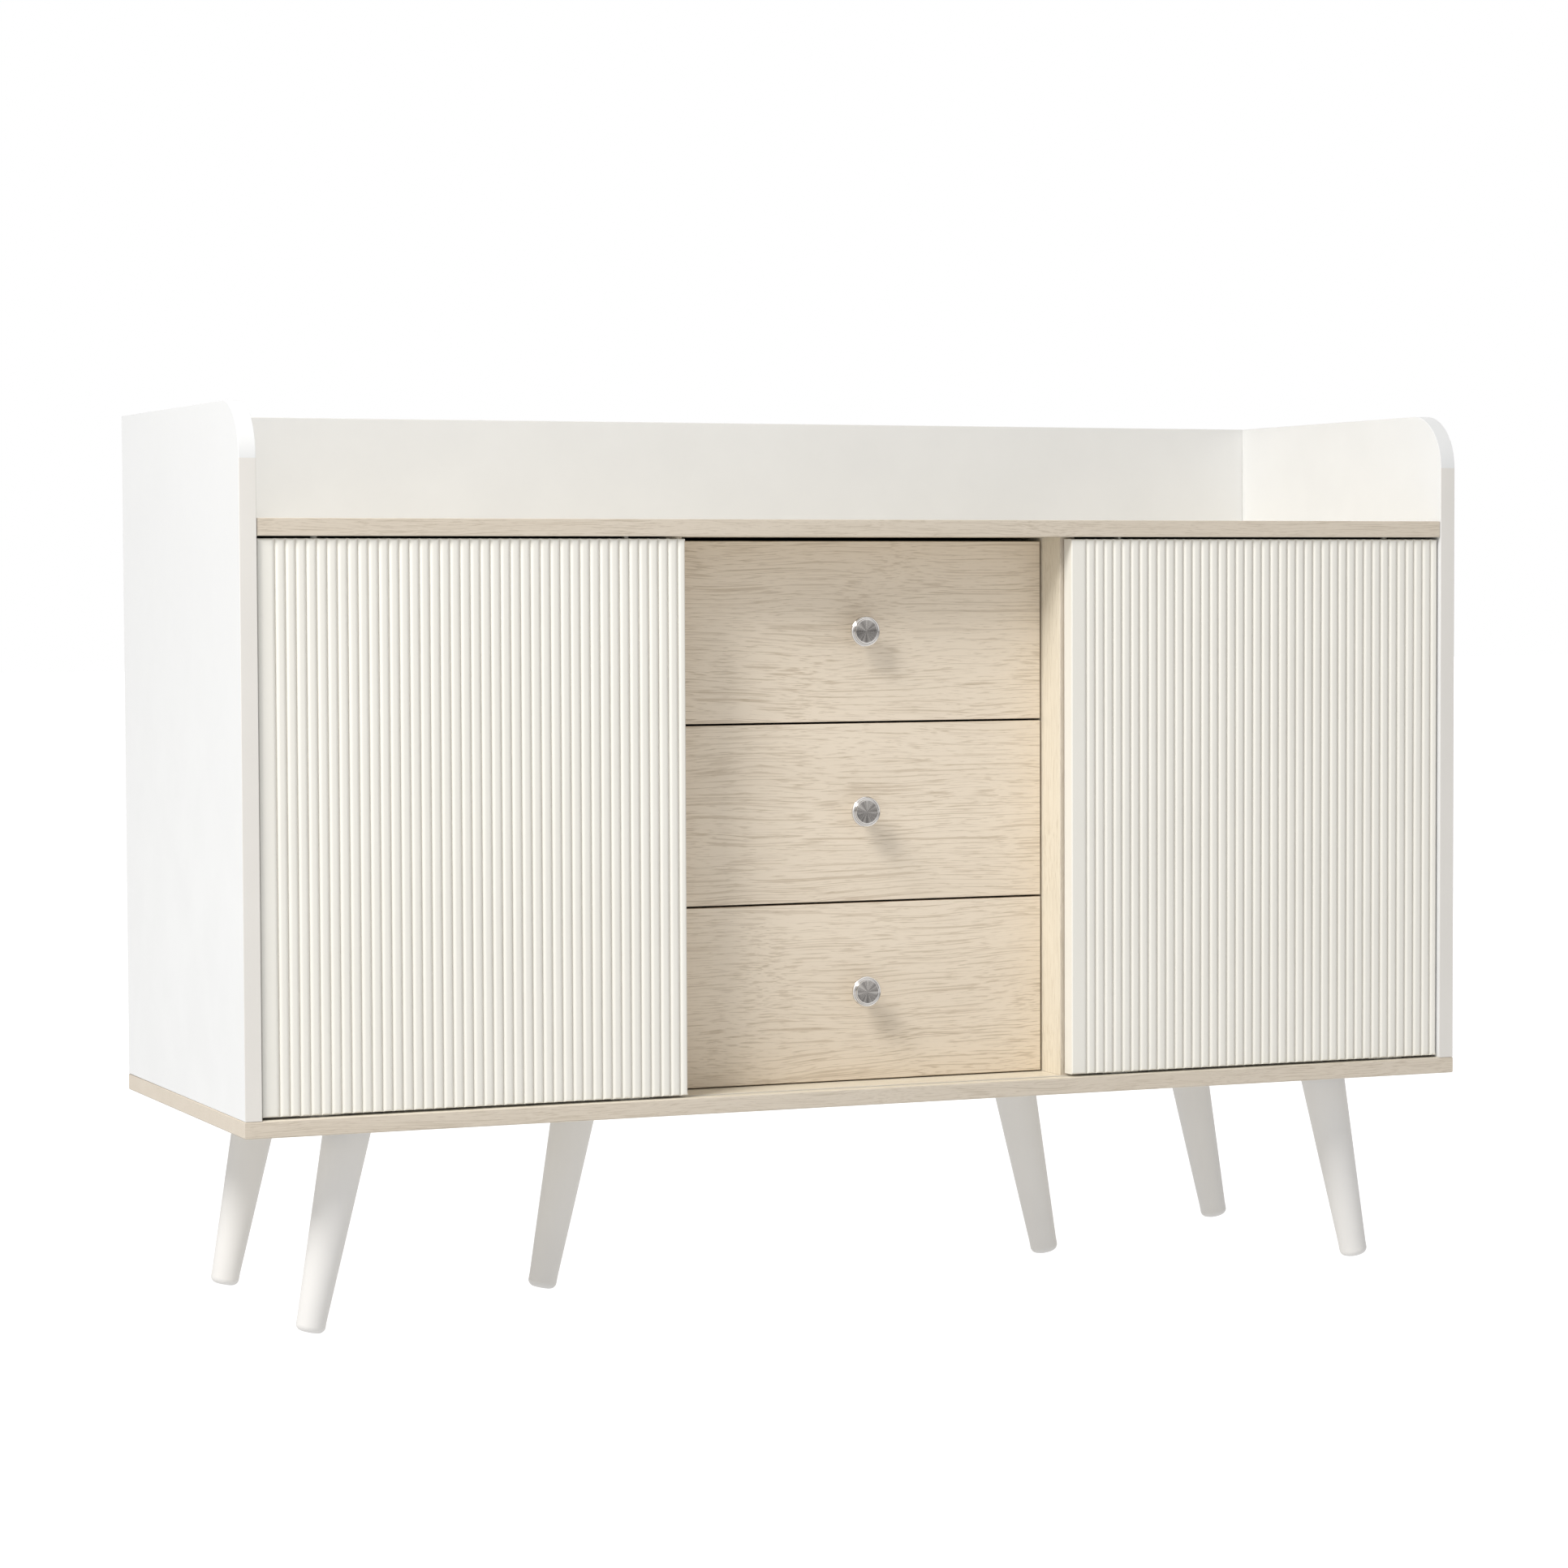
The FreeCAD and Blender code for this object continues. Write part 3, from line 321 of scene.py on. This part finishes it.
# Mesh helpers


def boxMesh(low, high):
    bm = bmesh.new()
    bmesh.ops.create_cube(bm, size=1)
    low, high = Vector(low), Vector(high)
    bmesh.ops.scale(bm, vec=high - low, verts=bm.verts)
    bmesh.ops.translate(bm, vec=(low + high) / 2, verts=bm.verts)
    return bm


def bevelEdges(bm, edges, width, segments=2):
    bmesh.ops.bevel(
        bm,
        geom=list(edges),
        offset=width,
        offset_type="OFFSET",
        affect="EDGES",
        segments=segments,
        profile=0.5,
        material=-1,
        clamp_overlap=True,
    )


def sharpEdges(bm, least=40, shortest=0.0):
    # Convex edges whose faces meet at more than the least angle, in degrees.
    limit = math.radians(least)
    folded = [e for e in bm.edges if len(e.link_faces) == 2 and e.calc_face_angle_signed(0) > limit]
    return [e for e in folded if e.calc_length() > shortest]


def cadCopy(*names):
    # A welded copy of CAD nodes with their flat areas made whole again.
    bm = bmesh.new()
    for name in names:
        bm.from_mesh(nodes[name].data)
    bmesh.ops.remove_doubles(bm, verts=bm.verts, dist=0.005 * mm)
    for face in bm.faces:
        face.material_index = 0
    bmesh.ops.dissolve_limit(bm, angle_limit=math.radians(0.5), verts=bm.verts, edges=bm.edges)
    return bm


def spinProfile(points, centre, axis, start, steps=64):
    # Turns (distance, height) points into a round body. The axis points along increasing height.
    bm = bmesh.new()
    axis, start = Vector(axis).normalized(), Vector(start).normalized()
    verts = [bm.verts.new(Vector(centre) + start * r + axis * h) for r, h in points]
    edges = [bm.edges.new(pair) for pair in zip(verts, verts[1:])]
    bmesh.ops.spin(
        bm,
        geom=verts + edges,
        cent=centre,
        axis=axis,
        angle=math.tau,
        steps=steps,
        use_merge=True,
        use_duplicate=False,
    )
    bmesh.ops.remove_doubles(bm, verts=bm.verts, dist=0.002 * mm)
    bmesh.ops.recalc_face_normals(bm, faces=bm.faces)
    return bm


def joinInto(bm, other):
    # Adds the other bmesh's geometry and frees it.
    mesh = bpy.data.meshes.new("joining")
    other.to_mesh(mesh)
    other.free()
    bm.from_mesh(mesh)
    bpy.data.meshes.remove(mesh)
    return bm


def paintFaces(bm, index, wanted):
    for face in bm.faces:
        if wanted(face):
            face.material_index = index


def islandBoxes(node):
    # The lowest and highest corners of each separate solid of a CAD node.
    bm = bmesh.new()
    bm.from_mesh(nodes[node].data)
    bmesh.ops.remove_doubles(bm, verts=bm.verts, dist=0.005 * mm)
    left, boxes = set(bm.verts), []
    while left:
        reached = [left.pop()]
        for vert in reached:
            for edge in vert.link_edges:
                other = edge.other_vert(vert)
                if other in left:
                    left.remove(other)
                    reached.append(other)
        points = [vert.co for vert in reached]
        boxes.append(tuple(Vector([pick(p[i] for p in points) for i in range(3)]) for pick in (min, max)))
    bm.free()
    return sorted(boxes, key=lambda box: tuple(box[0]))


def newPiece(name, bm, body, materialNames, replaced=(), smooth=32, flat=True):
    mesh = bpy.data.meshes.new(name)
    bm.normal_update()
    bm.to_mesh(mesh)
    bm.free()
    for face in mesh.polygons:
        face.use_smooth = True
    mesh.set_sharp_from_angle(angle=math.radians(smooth))
    piece = bpy.data.objects.new(name, mesh)
    bpy.context.scene.collection.objects.link(piece)
    for materialName in materialNames:
        mesh.materials.append(materials[materialName])
    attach(piece, body)
    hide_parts(*replaced)
    if flat:
        levelNormals(piece)
    return piece


def levelNormals(piece):
    # Large flat faces stay flat to the eye beside their rounded edges.
    modifier = piece.modifiers.new("level", "WEIGHTED_NORMAL")
    modifier.keep_sharp, modifier.weight = True, 80


def cutAway(piece, cutter):
    # Subtracts a closed bmesh from a piece, once and for all.
    mesh = bpy.data.meshes.new("cutter")
    cutter.normal_update()
    cutter.to_mesh(mesh)
    cutter.free()
    tool = bpy.data.objects.new("cutter", mesh)
    bpy.context.scene.collection.objects.link(tool)
    piece.modifiers.clear()
    modifier = piece.modifiers.new("cut", "BOOLEAN")
    modifier.object, modifier.operation, modifier.solver = tool, "DIFFERENCE", "EXACT"
    modifier.use_self = True  # a cross-shaped cutter is two boxes that overlap
    bpy.context.view_layer.update()
    result = bpy.data.meshes.new_from_object(piece.evaluated_get(bpy.context.evaluated_depsgraph_get()))
    piece.modifiers.clear()
    old, piece.data = piece.data, result
    result.name = piece.name
    bpy.data.objects.remove(tool)
    bpy.data.meshes.remove(mesh)
    bpy.data.meshes.remove(old)
    levelNormals(piece)
    return piece


def narrowEdges(low, high):
    # Picks the faces of a board that aren't on one of its two large sides.
    thin = min(range(3), key=lambda i: high[i] - low[i])
    return lambda face: abs(face.normal[thin]) < 0.7


# Case boards: welded copies of the CAD boards, so holes and grooves stay, with eased edges.

caseBoards = {
    "easing": 0.5 * mm,
    "baseEasing": 1.2 * mm,
    "shortest": 30 * mm,  # edges shorter than this, round holes, aren't eased
    "sideArc": 52 * mm,  # apart from those of a side panel's rounded top corner
    "highlightBandSeam": 50 * mm,  # where the straight and the curved edge band of a side panel meet; above it the band gets the lighter board colour, partly a painted highlight of the light from above
    "pocketRoom": 0.4 * mm,
    "pocketDepth": 1.6 * mm,
}


def easedBoard(node, pieceName, materialNames, easing=None):
    low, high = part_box(node)
    bm = cadCopy(node)
    reach = caseBoards["sideArc"]
    corner = Vector((high.x, low.y + reach, high.z - reach))

    def onOutline(edge):
        middle = (edge.verts[0].co + edge.verts[1].co) / 2
        curved = "side_panel" in node and middle.y < corner.y and middle.z > corner.z
        return curved or edge.calc_length() > caseBoards["shortest"]

    bevelEdges(bm, [e for e in sharpEdges(bm, 60) if onOutline(e)], easing or caseBoards["easing"])
    bm.normal_update()
    if len(materialNames) > 1:
        paintFaces(bm, 1, narrowEdges(low, high))
    # The curved band and the top of a side panel get the lighter board colour: a joint in the edge band,
    # and in part a painted highlight for the light that falls from above.
    if "side_panel" in node:
        paintFaces(bm, 0, lambda face: face.calc_center_median().z > high.z - caseBoards["highlightBandSeam"])
    return newPiece(pieceName, bm, "carcass", materialNames, [node])


def screwPockets():
    # A round pocket about each screw head in the back sheet, so that the heads show.
    bm = bmesh.new()
    for low, high in islandBoxes("back_panel_screws"):
        radius = (high.x - low.x) / 2 + caseBoards["pocketRoom"]
        turn = Matrix.Rotation(math.radians(90), 4, "X")
        place = Matrix.Translation(((low.x + high.x) / 2, high.y, (low.z + high.z) / 2))
        bmesh.ops.create_cone(
            bm,
            cap_ends=True,
            segments=32,
            radius1=radius,
            radius2=radius,
            depth=2 * caseBoards["pocketDepth"],
            matrix=place @ turn,
        )
    return bm


def makeCase():
    easedBoard("base_board", "baseBoard", ["oakBoard", "oakEdge"], caseBoards["baseEasing"])
    easedBoard("top_board", "topBoard", ["oakBoard", "oakEdge"])
    easedBoard("gallery_back", "galleryBack", ["whiteBoard", "whiteEdge"])
    for word in sides:
        easedBoard(f"side_panel_{word}", f"sidePanel_{word}", ["whiteBoard", "whiteEdge"])
        uprightOak = ["oakUpright", "edgeUpright"]
        easedBoard(f"partition_{word}", f"partition_{word}_panel", uprightOak)
        easedBoard(f"shelf_{word}", f"shelfBoard_{word}", ["oakBoard", "oakEdge"])
    sheet = easedBoard("back_panel", "backSheet", ["sheetFace", "rawFibre"], 0.3 * mm)
    cutAway(sheet, screwPockets())
    for face in sheet.data.polygons:
        face.material_index = 0 if face.normal.y < -0.5 else 1


# Doors: a slab whose face is a row of convex ribs between two plain strips.

door = {
    "ribCount": 40,
    "leftStrip": 15.5 * mm,
    "rightStrip": 6.5 * mm,
    "depth": 2.4 * mm,
    "crest": 3.8,  # higher is a flatter crest with steeper flanks
    "stepsPerRib": 16,
    "edgeRound": 1.3 * mm,
    "endRound": 2.0 * mm,
    "endSteps": 6,
    "spare": 2 * mm,  # how far a pocket's cutter runs past the door
    "fitting": 10 * mm,  # a fitting is wider than this
}


def ribPitch(width):
    return (width - door["leftStrip"] - door["rightStrip"]) / door["ribCount"]


def ribDepth(x, width):
    # How far the face lies behind the crests at x from the door's left edge.
    place = (x - door["leftStrip"]) / ribPitch(width)
    place = min(max(place, -0.5), door["ribCount"] + 0.5)
    return door["depth"] * abs(2 * (place % 1) - 1) ** door["crest"]


def endDepth(z, tall):
    # How far the rounded ends stand back at z from the door's lower edge.
    inside = min(z, tall - z, door["endRound"])
    return door["endRound"] - math.sqrt(max(door["endRound"] ** 2 - (door["endRound"] - inside) ** 2, 0))


def makeDoor(word):
    low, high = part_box(f"door_{word}_panel")
    width, tall = high.x - low.x, high.z - low.z
    step = ribPitch(width) / door["stepsPerRib"]
    first = door["leftStrip"] - ribPitch(width) / 2
    count = (door["ribCount"] + 1) * door["stepsPerRib"]
    stops = [0.0] + [first + step * i for i in range(count + 1)] + [width]
    turns = [math.pi / 2 * i / door["endSteps"] for i in range(door["endSteps"] + 1)]
    ends = [door["endRound"] * (1 - math.cos(turn)) for turn in turns]
    levels = ends + [tall - end for end in reversed(ends)]

    bm = bmesh.new()
    depths = [max(ribDepth(x, width), endDepth(0, tall)) for x in stops]
    front = [bm.verts.new((low.x + x, low.y + depth, low.z)) for x, depth in zip(stops, depths)]
    section = bm.faces.new(front + [bm.verts.new((x, high.y, low.z)) for x in (high.x, low.x)])
    for lower, upper in zip(levels, levels[1:]):
        raised = bmesh.ops.extrude_face_region(bm, geom=[section])["geom"]
        section = next(g for g in raised if isinstance(g, bmesh.types.BMFace))
        for vert in section.verts:
            vert.co.z = low.z + upper
            if vert.co.y < high.y - 1 * mm:
                vert.co.y = low.y + max(ribDepth(vert.co.x - low.x, width), endDepth(upper, tall))
    lying = [f for f in bm.faces if abs(f.normal.z) > 0.9]
    nearly = 0.01 * mm
    inner = [f for f in lying if low.z + nearly < f.calc_center_median().z < high.z - nearly]
    bmesh.ops.delete(bm, geom=inner, context="FACES_ONLY")
    bmesh.ops.recalc_face_normals(bm, faces=bm.faces)
    tallEdges = [e for e in bm.edges if abs(e.verts[0].co.z - e.verts[1].co.z) > tall / 2]
    square = math.radians(80)
    corners = [e for e in tallEdges if e.calc_face_angle(0) > square and e.verts[0].co.y < low.y + 1 * mm]
    bevelEdges(bm, corners, door["edgeRound"], 3)
    body, node = f"door_{word}", f"door_{word}_panel"
    piece = newPiece(f"door_{word}_ribbed", bm, body, ["doorFoil"], [node], 40)

    spare = door["spare"]
    cutter = bmesh.new()
    for kind, below, above in (("roller_housings", spare, 0), ("top_guides", 0, spare)):
        for pocketLow, pocketHigh in islandBoxes(f"door_{word}_{kind}"):
            if pocketHigh.x - pocketLow.x > door["fitting"]:
                joinInto(cutter, boxMesh(pocketLow - up * below, pocketHigh + along * spare + up * above))
    return cutAway(piece, cutter)


# Door hardware

roller = {
    "steps": 48,
    "halfWidth": 2.5 * mm,
    "lip": 0.5 * mm,
    "recess": 0.8 * mm,
    "hub": 3.2 * mm,
    "web": 6.6 * mm,
    "axle": 1.5 * mm,
    "axleEasing": 0.2 * mm,
    "slope": 0.3 * mm,  # of the recess's two walls
}


def makeRoller(word, place):
    node = f"door_{word}_roller_{place}"
    low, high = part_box(node)
    centre = (low + high) / 2
    radius = (high.z - low.z) / 2
    half, axle, slope = roller["halfWidth"], roller["axle"], roller["slope"]
    axleHalf = (high.y - low.y) / 2
    lip, recess, easing = roller["lip"], roller["recess"], roller["axleEasing"]
    face = [
        (0, axleHalf),
        (axle - easing, axleHalf),
        (axle, axleHalf - easing),
        (axle, half),
        (roller["hub"], half),
        (roller["hub"] + slope, half - recess),
        (roller["web"], half - recess),
        (roller["web"] + slope, half),
        (radius - lip, half),
        (radius, half - lip),
    ]
    mirrored = [(r, -h) for r, h in reversed(face)]
    bm = spinProfile(face + mirrored, centre, along, across, roller["steps"])
    onAxle = axle + 0.05 * mm
    paintFaces(bm, 1, lambda f: (f.calc_center_median() - centre).xz.length < onAxle)
    newPiece(f"roller_{word}_{place}", bm, node, ["nylon", "zincSteel"], [node])


def makeDoorHardware():
    for word in sides:
        makeDoor(word)
        for place in ("inner", "outer"):
            makeRoller(word, place)
        for kind in ("roller_housings", "top_guides"):
            bm = cadCopy(f"door_{word}_{kind}")
            bevelEdges(bm, sharpEdges(bm, 60, 4 * mm), 0.3 * mm)
            newPiece(f"{kind}_{word}", bm, f"door_{word}", ["nylon"], [f"door_{word}_{kind}"])
    bm = cadCopy("bottom_track")
    bevelEdges(bm, sharpEdges(bm, 60, 4 * mm), 0.25 * mm)
    newPiece("rollerTrack", bm, "carcass", ["track"], ["bottom_track"])


# Drawers

drawer = {"frontEasing": 0.7 * mm, "boxEasing": 0.8 * mm, "bottomEasing": 0.2 * mm}

knob = {
    "faceRadius": 11.0 * mm,
    "rimRadius": 14.0 * mm,
    "reach": 20 * mm,
    "dish": 0.7 * mm,
    "dishBelowLip": 0.15 * mm,
    "dishShare": 0.93,  # of the face's radius
    "dishCurve": 1.6,
    "dishSteps": 8,
    "lip": 0.5 * mm,
    "paintedTo": 1.0 * mm,  # how far behind the lip the brushed face ends
    "steps": 96,
    # The groove about the face: distances in mm beyond the face's radius, and behind the front.
    "groove": ((-0.1, 0.1), (0.2, 0.6), (0.3, 1.9), (0.9, 2.1), (1.4, 1.7)),
    # The rim and the taper behind it: distances in mm inside the rim's radius, and behind the front.
    "rim": ((0.9, 1.5), (0.25, 2.1), (0, 2.9), (0.2, 3.9), (1.2, 5)),
    "neckBehind": ((8, 8.5), (5.9, 11)),  # radius, and how far behind the front
    "foot": ((5.5, 5.5), (5.8, 3.2), (6.9, 1.6), (7, 0.3), (6.8, 0)),  # radius and height
    "hole": ((2.1, 0), (2.1, 10), (0, 10)),
}


def makeKnob(name):
    node = f"drawer_{name}_knob"
    low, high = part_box(node)
    centre = Vector(((low.x + high.x) / 2, high.y, (low.z + high.z) / 2))  # on the drawer front
    face, rim, reach, lip = knob["faceRadius"], knob["rimRadius"], knob["reach"], knob["lip"]
    profile = []
    for i in range(knob["dishSteps"] + 1):  # shallow cone that rounds up into the lip
        share = i / knob["dishSteps"]
        fall = knob["dish"] * (1 - share ** knob["dishCurve"]) + knob["dishBelowLip"]
        profile.append((face * knob["dishShare"] * share, reach - fall))
    profile.append((face - lip, reach))
    profile += [(face + beyond * mm, reach - behind * mm) for beyond, behind in knob["groove"]]
    profile += [(rim - inside * mm, reach - behind * mm) for inside, behind in knob["rim"]]
    profile += [(radius * mm, reach - behind * mm) for radius, behind in knob["neckBehind"]]
    profile += [(radius * mm, height * mm) for radius, height in knob["foot"] + knob["hole"]]
    bm = spinProfile(profile, centre, -along, across, knob["steps"])
    lipLine = centre.y - reach + knob["paintedTo"]
    dishEdge = face * knob["dishShare"] + 0.01 * mm

    def inDish(facet):
        middle = facet.calc_center_median()
        return middle.y < lipLine and (middle - centre).xz.length < dishEdge

    paintFaces(bm, 1, inDish)
    spun = bm.loops.layers.uv.new("spun")
    for f in bm.faces:
        for loop in f.loops:
            loop[spun].uv = (loop.vert.co.x - centre.x, loop.vert.co.z - centre.z)
    paint = ["knobRim", "knobFace"]
    newPiece(f"knob_{name}", bm, f"drawer_{name}", paint, [node], 28, flat=False)


def makeDrawer(name):
    body = f"drawer_{name}"
    bm = cadCopy(f"{body}_front")
    bevelEdges(bm, sharpEdges(bm, 60, 100 * mm), drawer["frontEasing"])
    newPiece(f"front_{name}", bm, body, [f"oakFront_{name}"], [f"{body}_front"])
    for kind, slot, paint in (
        ("sides", "drawer_box_board", "boxBoard"),
        ("back", "drawer_box_board", "boxBoard"),
        ("bottom", "hardboard", "sheetFace"),
    ):
        bm = cadCopy(f"{body}_{kind}")
        easing = drawer["bottomEasing"] if kind == "bottom" else drawer["boxEasing"]
        bevelEdges(bm, sharpEdges(bm, 60, 50 * mm), easing)
        newPiece(f"{kind}_{name}", bm, body, [paint], [f"{body}_{kind}"])
    makeKnob(name)


# Runners: folded channels, ball cages and balls

runner = {
    "bend": 0.5 * mm,
    "bendSteps": 3,
    "shortest": 100 * mm,  # edges shorter than this aren't bends
}


def makeRunners():
    jobs = [("cabinet_runners", "carcass", "cabinetRunners")]
    for name in drawerNames:
        jobs.append((f"drawer_{name}_runners", f"drawer_{name}", f"drawerRunners_{name}"))
    for node, body, pieceName in jobs:
        bm = cadCopy(node)
        bevelEdges(bm, sharpEdges(bm, 60, runner["shortest"]), runner["bend"], runner["bendSteps"])
        newPiece(pieceName, bm, body, ["zincSteel"], [node])


# Legs

leg = {
    "footRadius": 13 * mm,
    "topRadius": 20.8 * mm,
    "footRound": 6 * mm,
    "footFlat": 0.6 * mm,  # how much of the foot is cut off level
    "tilt": math.radians(11.5),
    "taper": 180.7 * mm,  # from the foot to the full radius
    "length": 195 * mm,  # before the top is cut level with the plate
    "arcSteps": 10,
    "steps": 96,
}


def makeLeg(name, side):
    node = f"leg_{name}"
    low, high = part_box(node)
    tilt, foot, curve = leg["tilt"], leg["footRadius"], leg["footRound"]
    # The leg stands on the inner side of its rounded foot, and its centre line ends above the floor.
    rise = curve * (1 - math.cos(tilt)) + (foot - curve) * math.sin(tilt) - leg["footFlat"]
    inner = min(abs(low.x), abs(high.x)) + leg["topRadius"] / math.cos(tilt)
    centre = Vector((side * (inner + (high.z - rise) * math.tan(tilt)), (low.y + high.y) / 2, rise))
    axis = Vector((-side * math.sin(tilt), 0, math.cos(tilt)))
    profile = [(0, 0)]
    for i in range(leg["arcSteps"] + 1):
        turn = math.pi / 2 * i / leg["arcSteps"]
        profile.append((foot - curve * (1 - math.sin(turn)), curve * (1 - math.cos(turn))))
    top, length = leg["topRadius"], leg["length"]
    profile += [(foot, 2 * curve), (top, leg["taper"]), (top, length), (0, length)]
    bm = spinProfile(profile, centre, axis, along, leg["steps"])
    for height, normal in ((high.z, up), (low.z, -up)):
        geometry = bm.verts[:] + bm.edges[:] + bm.faces[:]
        cut = bmesh.ops.bisect_plane(
            bm, geom=geometry, plane_co=(0, 0, height), plane_no=normal, clear_outer=True
        )
        rim = [g for g in cut["geom_cut"] if isinstance(g, bmesh.types.BMEdge)]
        if rim:
            bmesh.ops.edgeloop_fill(bm, edges=rim)
    bmesh.ops.recalc_face_normals(bm, faces=bm.faces)
    newPiece(f"turnedLeg_{name}", bm, "carcass", ["legPaint"], [node], 50)


def makeLegs():
    for row in ("front", "middle", "back"):
        for word, side in sides.items():
            makeLeg(f"{row}_{word}", side)


# CAD nodes that stay as they are, with the finish of what they are made of

keptNodes = {
    "zincSteel": ["cam_bolts", "leg_bolts", "leg_plates", "shelf_pins"],
    "zincCast": ["cam_locks"],
    "rawChip": ["wood_dowels"],
    "ballSteel": [f"drawer_{n}_{part}" for part in ("ball_cages", "knob_screw") for n in drawerNames],
}


def paintKeptNodes():
    for materialName, names in keptNodes.items():
        for name in names:
            for slot in nodes[name].material_slots:
                slot.material = materials[materialName]


# The back panel and leg plate screws get the recess that a driver fits.

recessed = {
    "back_panel_screws": {"towards": (0, 1, 0), "arm": 1.9 * mm, "depth": 1.1 * mm},
    "leg_plate_screws": {"towards": (0, 0, -1), "arm": 2.2 * mm, "depth": 1.1 * mm},
}
armWidth = 0.28  # half the width of a cross's arm, as a share of its reach


def crossCutter(bm, centre, towards, arm, depth):
    # A plus-shaped bit sunk into a screw head.
    beside = along if abs(towards.z) > 0.5 else up
    over = towards.cross(beside)
    narrow = arm * armWidth
    for long, short in ((beside, over), (over, beside)):
        reach = long * arm + short * narrow
        half = Vector([abs(v) for v in reach]) + Vector([abs(v) for v in towards * depth])
        joinInto(bm, boxMesh(centre - half, centre + half))


def makeScrews():
    for node, screw in recessed.items():
        bm = cadCopy(node)
        piece = newPiece(
            f"{node}_driven", bm, "carcass", ["zincSteel"], [node], 40, flat=False
        )
        cutters = bmesh.new()
        towards = Vector(screw["towards"])
        for low, high in islandBoxes(node):
            centre = (low + high) / 2
            head = high if sum(towards) > 0 else low
            for i in range(3):
                if towards[i]:
                    centre[i] = head[i]
            crossCutter(cutters, centre, towards, screw["arm"], screw["depth"])
        cutAway(piece, cutters)


# Stage, light and camera

studio = {
    "backdrop": 1.0,  # how bright the room looks to the camera
    "ambient": 0.36,  # and how much it lights the sideboard
    "ambientLean": (-0.125, -0.18, 0.12),  # more of it from the left, the front and above
    "mirrored": (0.10, 1.15),  # how bright the room looks in polished metal, level and from above
    "mirroredLeft": 0.9,
    "floorGlow": 0.66,
    "floorTint": 0.2,
    "distance": 4.2,
}

lamps = {
    "key": {"direction": (-0.66, -0.38, 0.65), "size": 1.5, "power": 136, "colour": (1, 0.985, 0.96)},
    "rearFill": {"direction": (0.45, 0.85, 0.40), "size": 2.4, "power": 70, "colour": (1, 1, 1)},
}

camera = {
    "place": (-1.54265, -3.62492, 0.63723),
    "yaw": 0.3993,  # radians, from +Y towards +X
    "pitch": 0.0458,  # downwards
    "roll": -0.0041,
    "lens": 96.83,
}


def makeCamera():
    yaw, pitch, roll = camera["yaw"], camera["pitch"], camera["roll"]
    ahead = Vector((math.sin(yaw) * math.cos(pitch), math.cos(yaw) * math.cos(pitch), -math.sin(pitch)))
    right = Vector((math.cos(yaw), -math.sin(yaw), 0))
    above = right.cross(ahead)
    right, above = (
        right * math.cos(roll) + above * math.sin(roll),
        above * math.cos(roll) - right * math.sin(roll),
    )
    data = bpy.data.cameras.new("camera")
    data.lens, data.sensor_width, data.clip_start = camera["lens"], 36, 0.05
    obj = bpy.data.objects.new("camera", data)
    facing = Matrix((right, above, -ahead)).transposed().to_4x4()
    obj.matrix_world = Matrix.Translation(camera["place"]) @ facing
    bpy.context.scene.collection.objects.link(obj)
    bpy.context.scene.camera = obj


def seenByCamera(tree, seen, otherwise):
    ray = addNode(tree, "ShaderNodeLightPath").outputs["Is Camera Ray"]
    return remap(tree, ray, 0, 1, otherwise, seen)


def makeFloor():
    bm = bmesh.new()
    bmesh.ops.create_grid(bm, x_segments=1, y_segments=1, size=30)
    mesh = bpy.data.meshes.new("floor")
    bm.to_mesh(mesh)
    bm.free()
    floor = bpy.data.objects.new("floor", mesh)
    bpy.context.scene.collection.objects.link(floor)
    material = bpy.data.materials.new("floorPaper")
    material.use_nodes = True
    tree = material.node_tree
    principled = tree.nodes["Principled BSDF"]
    tint = studio["floorTint"]
    principled.inputs["Base Color"].default_value = (tint, tint, tint, 1)
    principled.inputs["Roughness"].default_value = 0.9
    principled.inputs["Emission Color"].default_value = (1, 1, 1, 1)
    glow = seenByCamera(tree, studio["backdrop"], studio["floorGlow"])
    tree.links.new(glow, principled.inputs["Emission Strength"])
    mesh.materials.append(material)


def makeLight():
    world = bpy.data.worlds.new("studio")
    world.use_nodes = True
    bpy.context.scene.world = world
    tree = world.node_tree
    direction = addNode(tree, "ShaderNodeTexCoord").outputs["Generated"]
    leaning = {0: direction, 1: studio["ambientLean"]}
    lean = addNode(tree, "ShaderNodeVectorMath", leaning, operation="DOT_PRODUCT").outputs["Value"]
    ambient = sum2(tree, lean, studio["ambient"])
    part = addNode(tree, "ShaderNodeSeparateXYZ", {0: direction}).outputs
    mirrored = remap(tree, part["Z"], 0.0, 0.5, *studio["mirrored"])
    mirrored = sum2(tree, mirrored, remap(tree, part["X"], -0.4, -0.9, 0, studio["mirroredLeft"]))
    glossy = addNode(tree, "ShaderNodeLightPath").outputs["Is Glossy Ray"]
    strength = remap(tree, glossy, 0, 1, ambient, mirrored)
    background = tree.nodes["Background"].inputs
    tree.links.new(seenByCamera(tree, studio["backdrop"], strength), background["Strength"])
    background["Color"].default_value = (1, 1, 1, 1)
    for name, lamp in lamps.items():
        towards = Vector(lamp["direction"]).normalized()
        data = bpy.data.lights.new(name, "AREA")
        data.shape, data.size = "DISK", lamp["size"]
        data.energy, data.color = lamp["power"], lamp["colour"]
        light = bpy.data.objects.new(name, data)
        light.location = Vector((0, 0, 0.5)) + towards * studio["distance"]
        light.rotation_euler = towards.to_track_quat("Z", "Y").to_euler()
        light.visible_glossy = name == "key"
        bpy.context.scene.collection.objects.link(light)
    bpy.context.scene.view_settings.view_transform = "Standard"


makeCase()
print("case done")
makeDoorHardware()
print("doors done")
for drawerName in drawerNames:
    makeDrawer(drawerName)
makeRunners()
print("drawers done")
makeLegs()
makeScrews()
paintKeptNodes()
print("legs and fittings done")
makeFloor()
makeLight()
makeCamera()
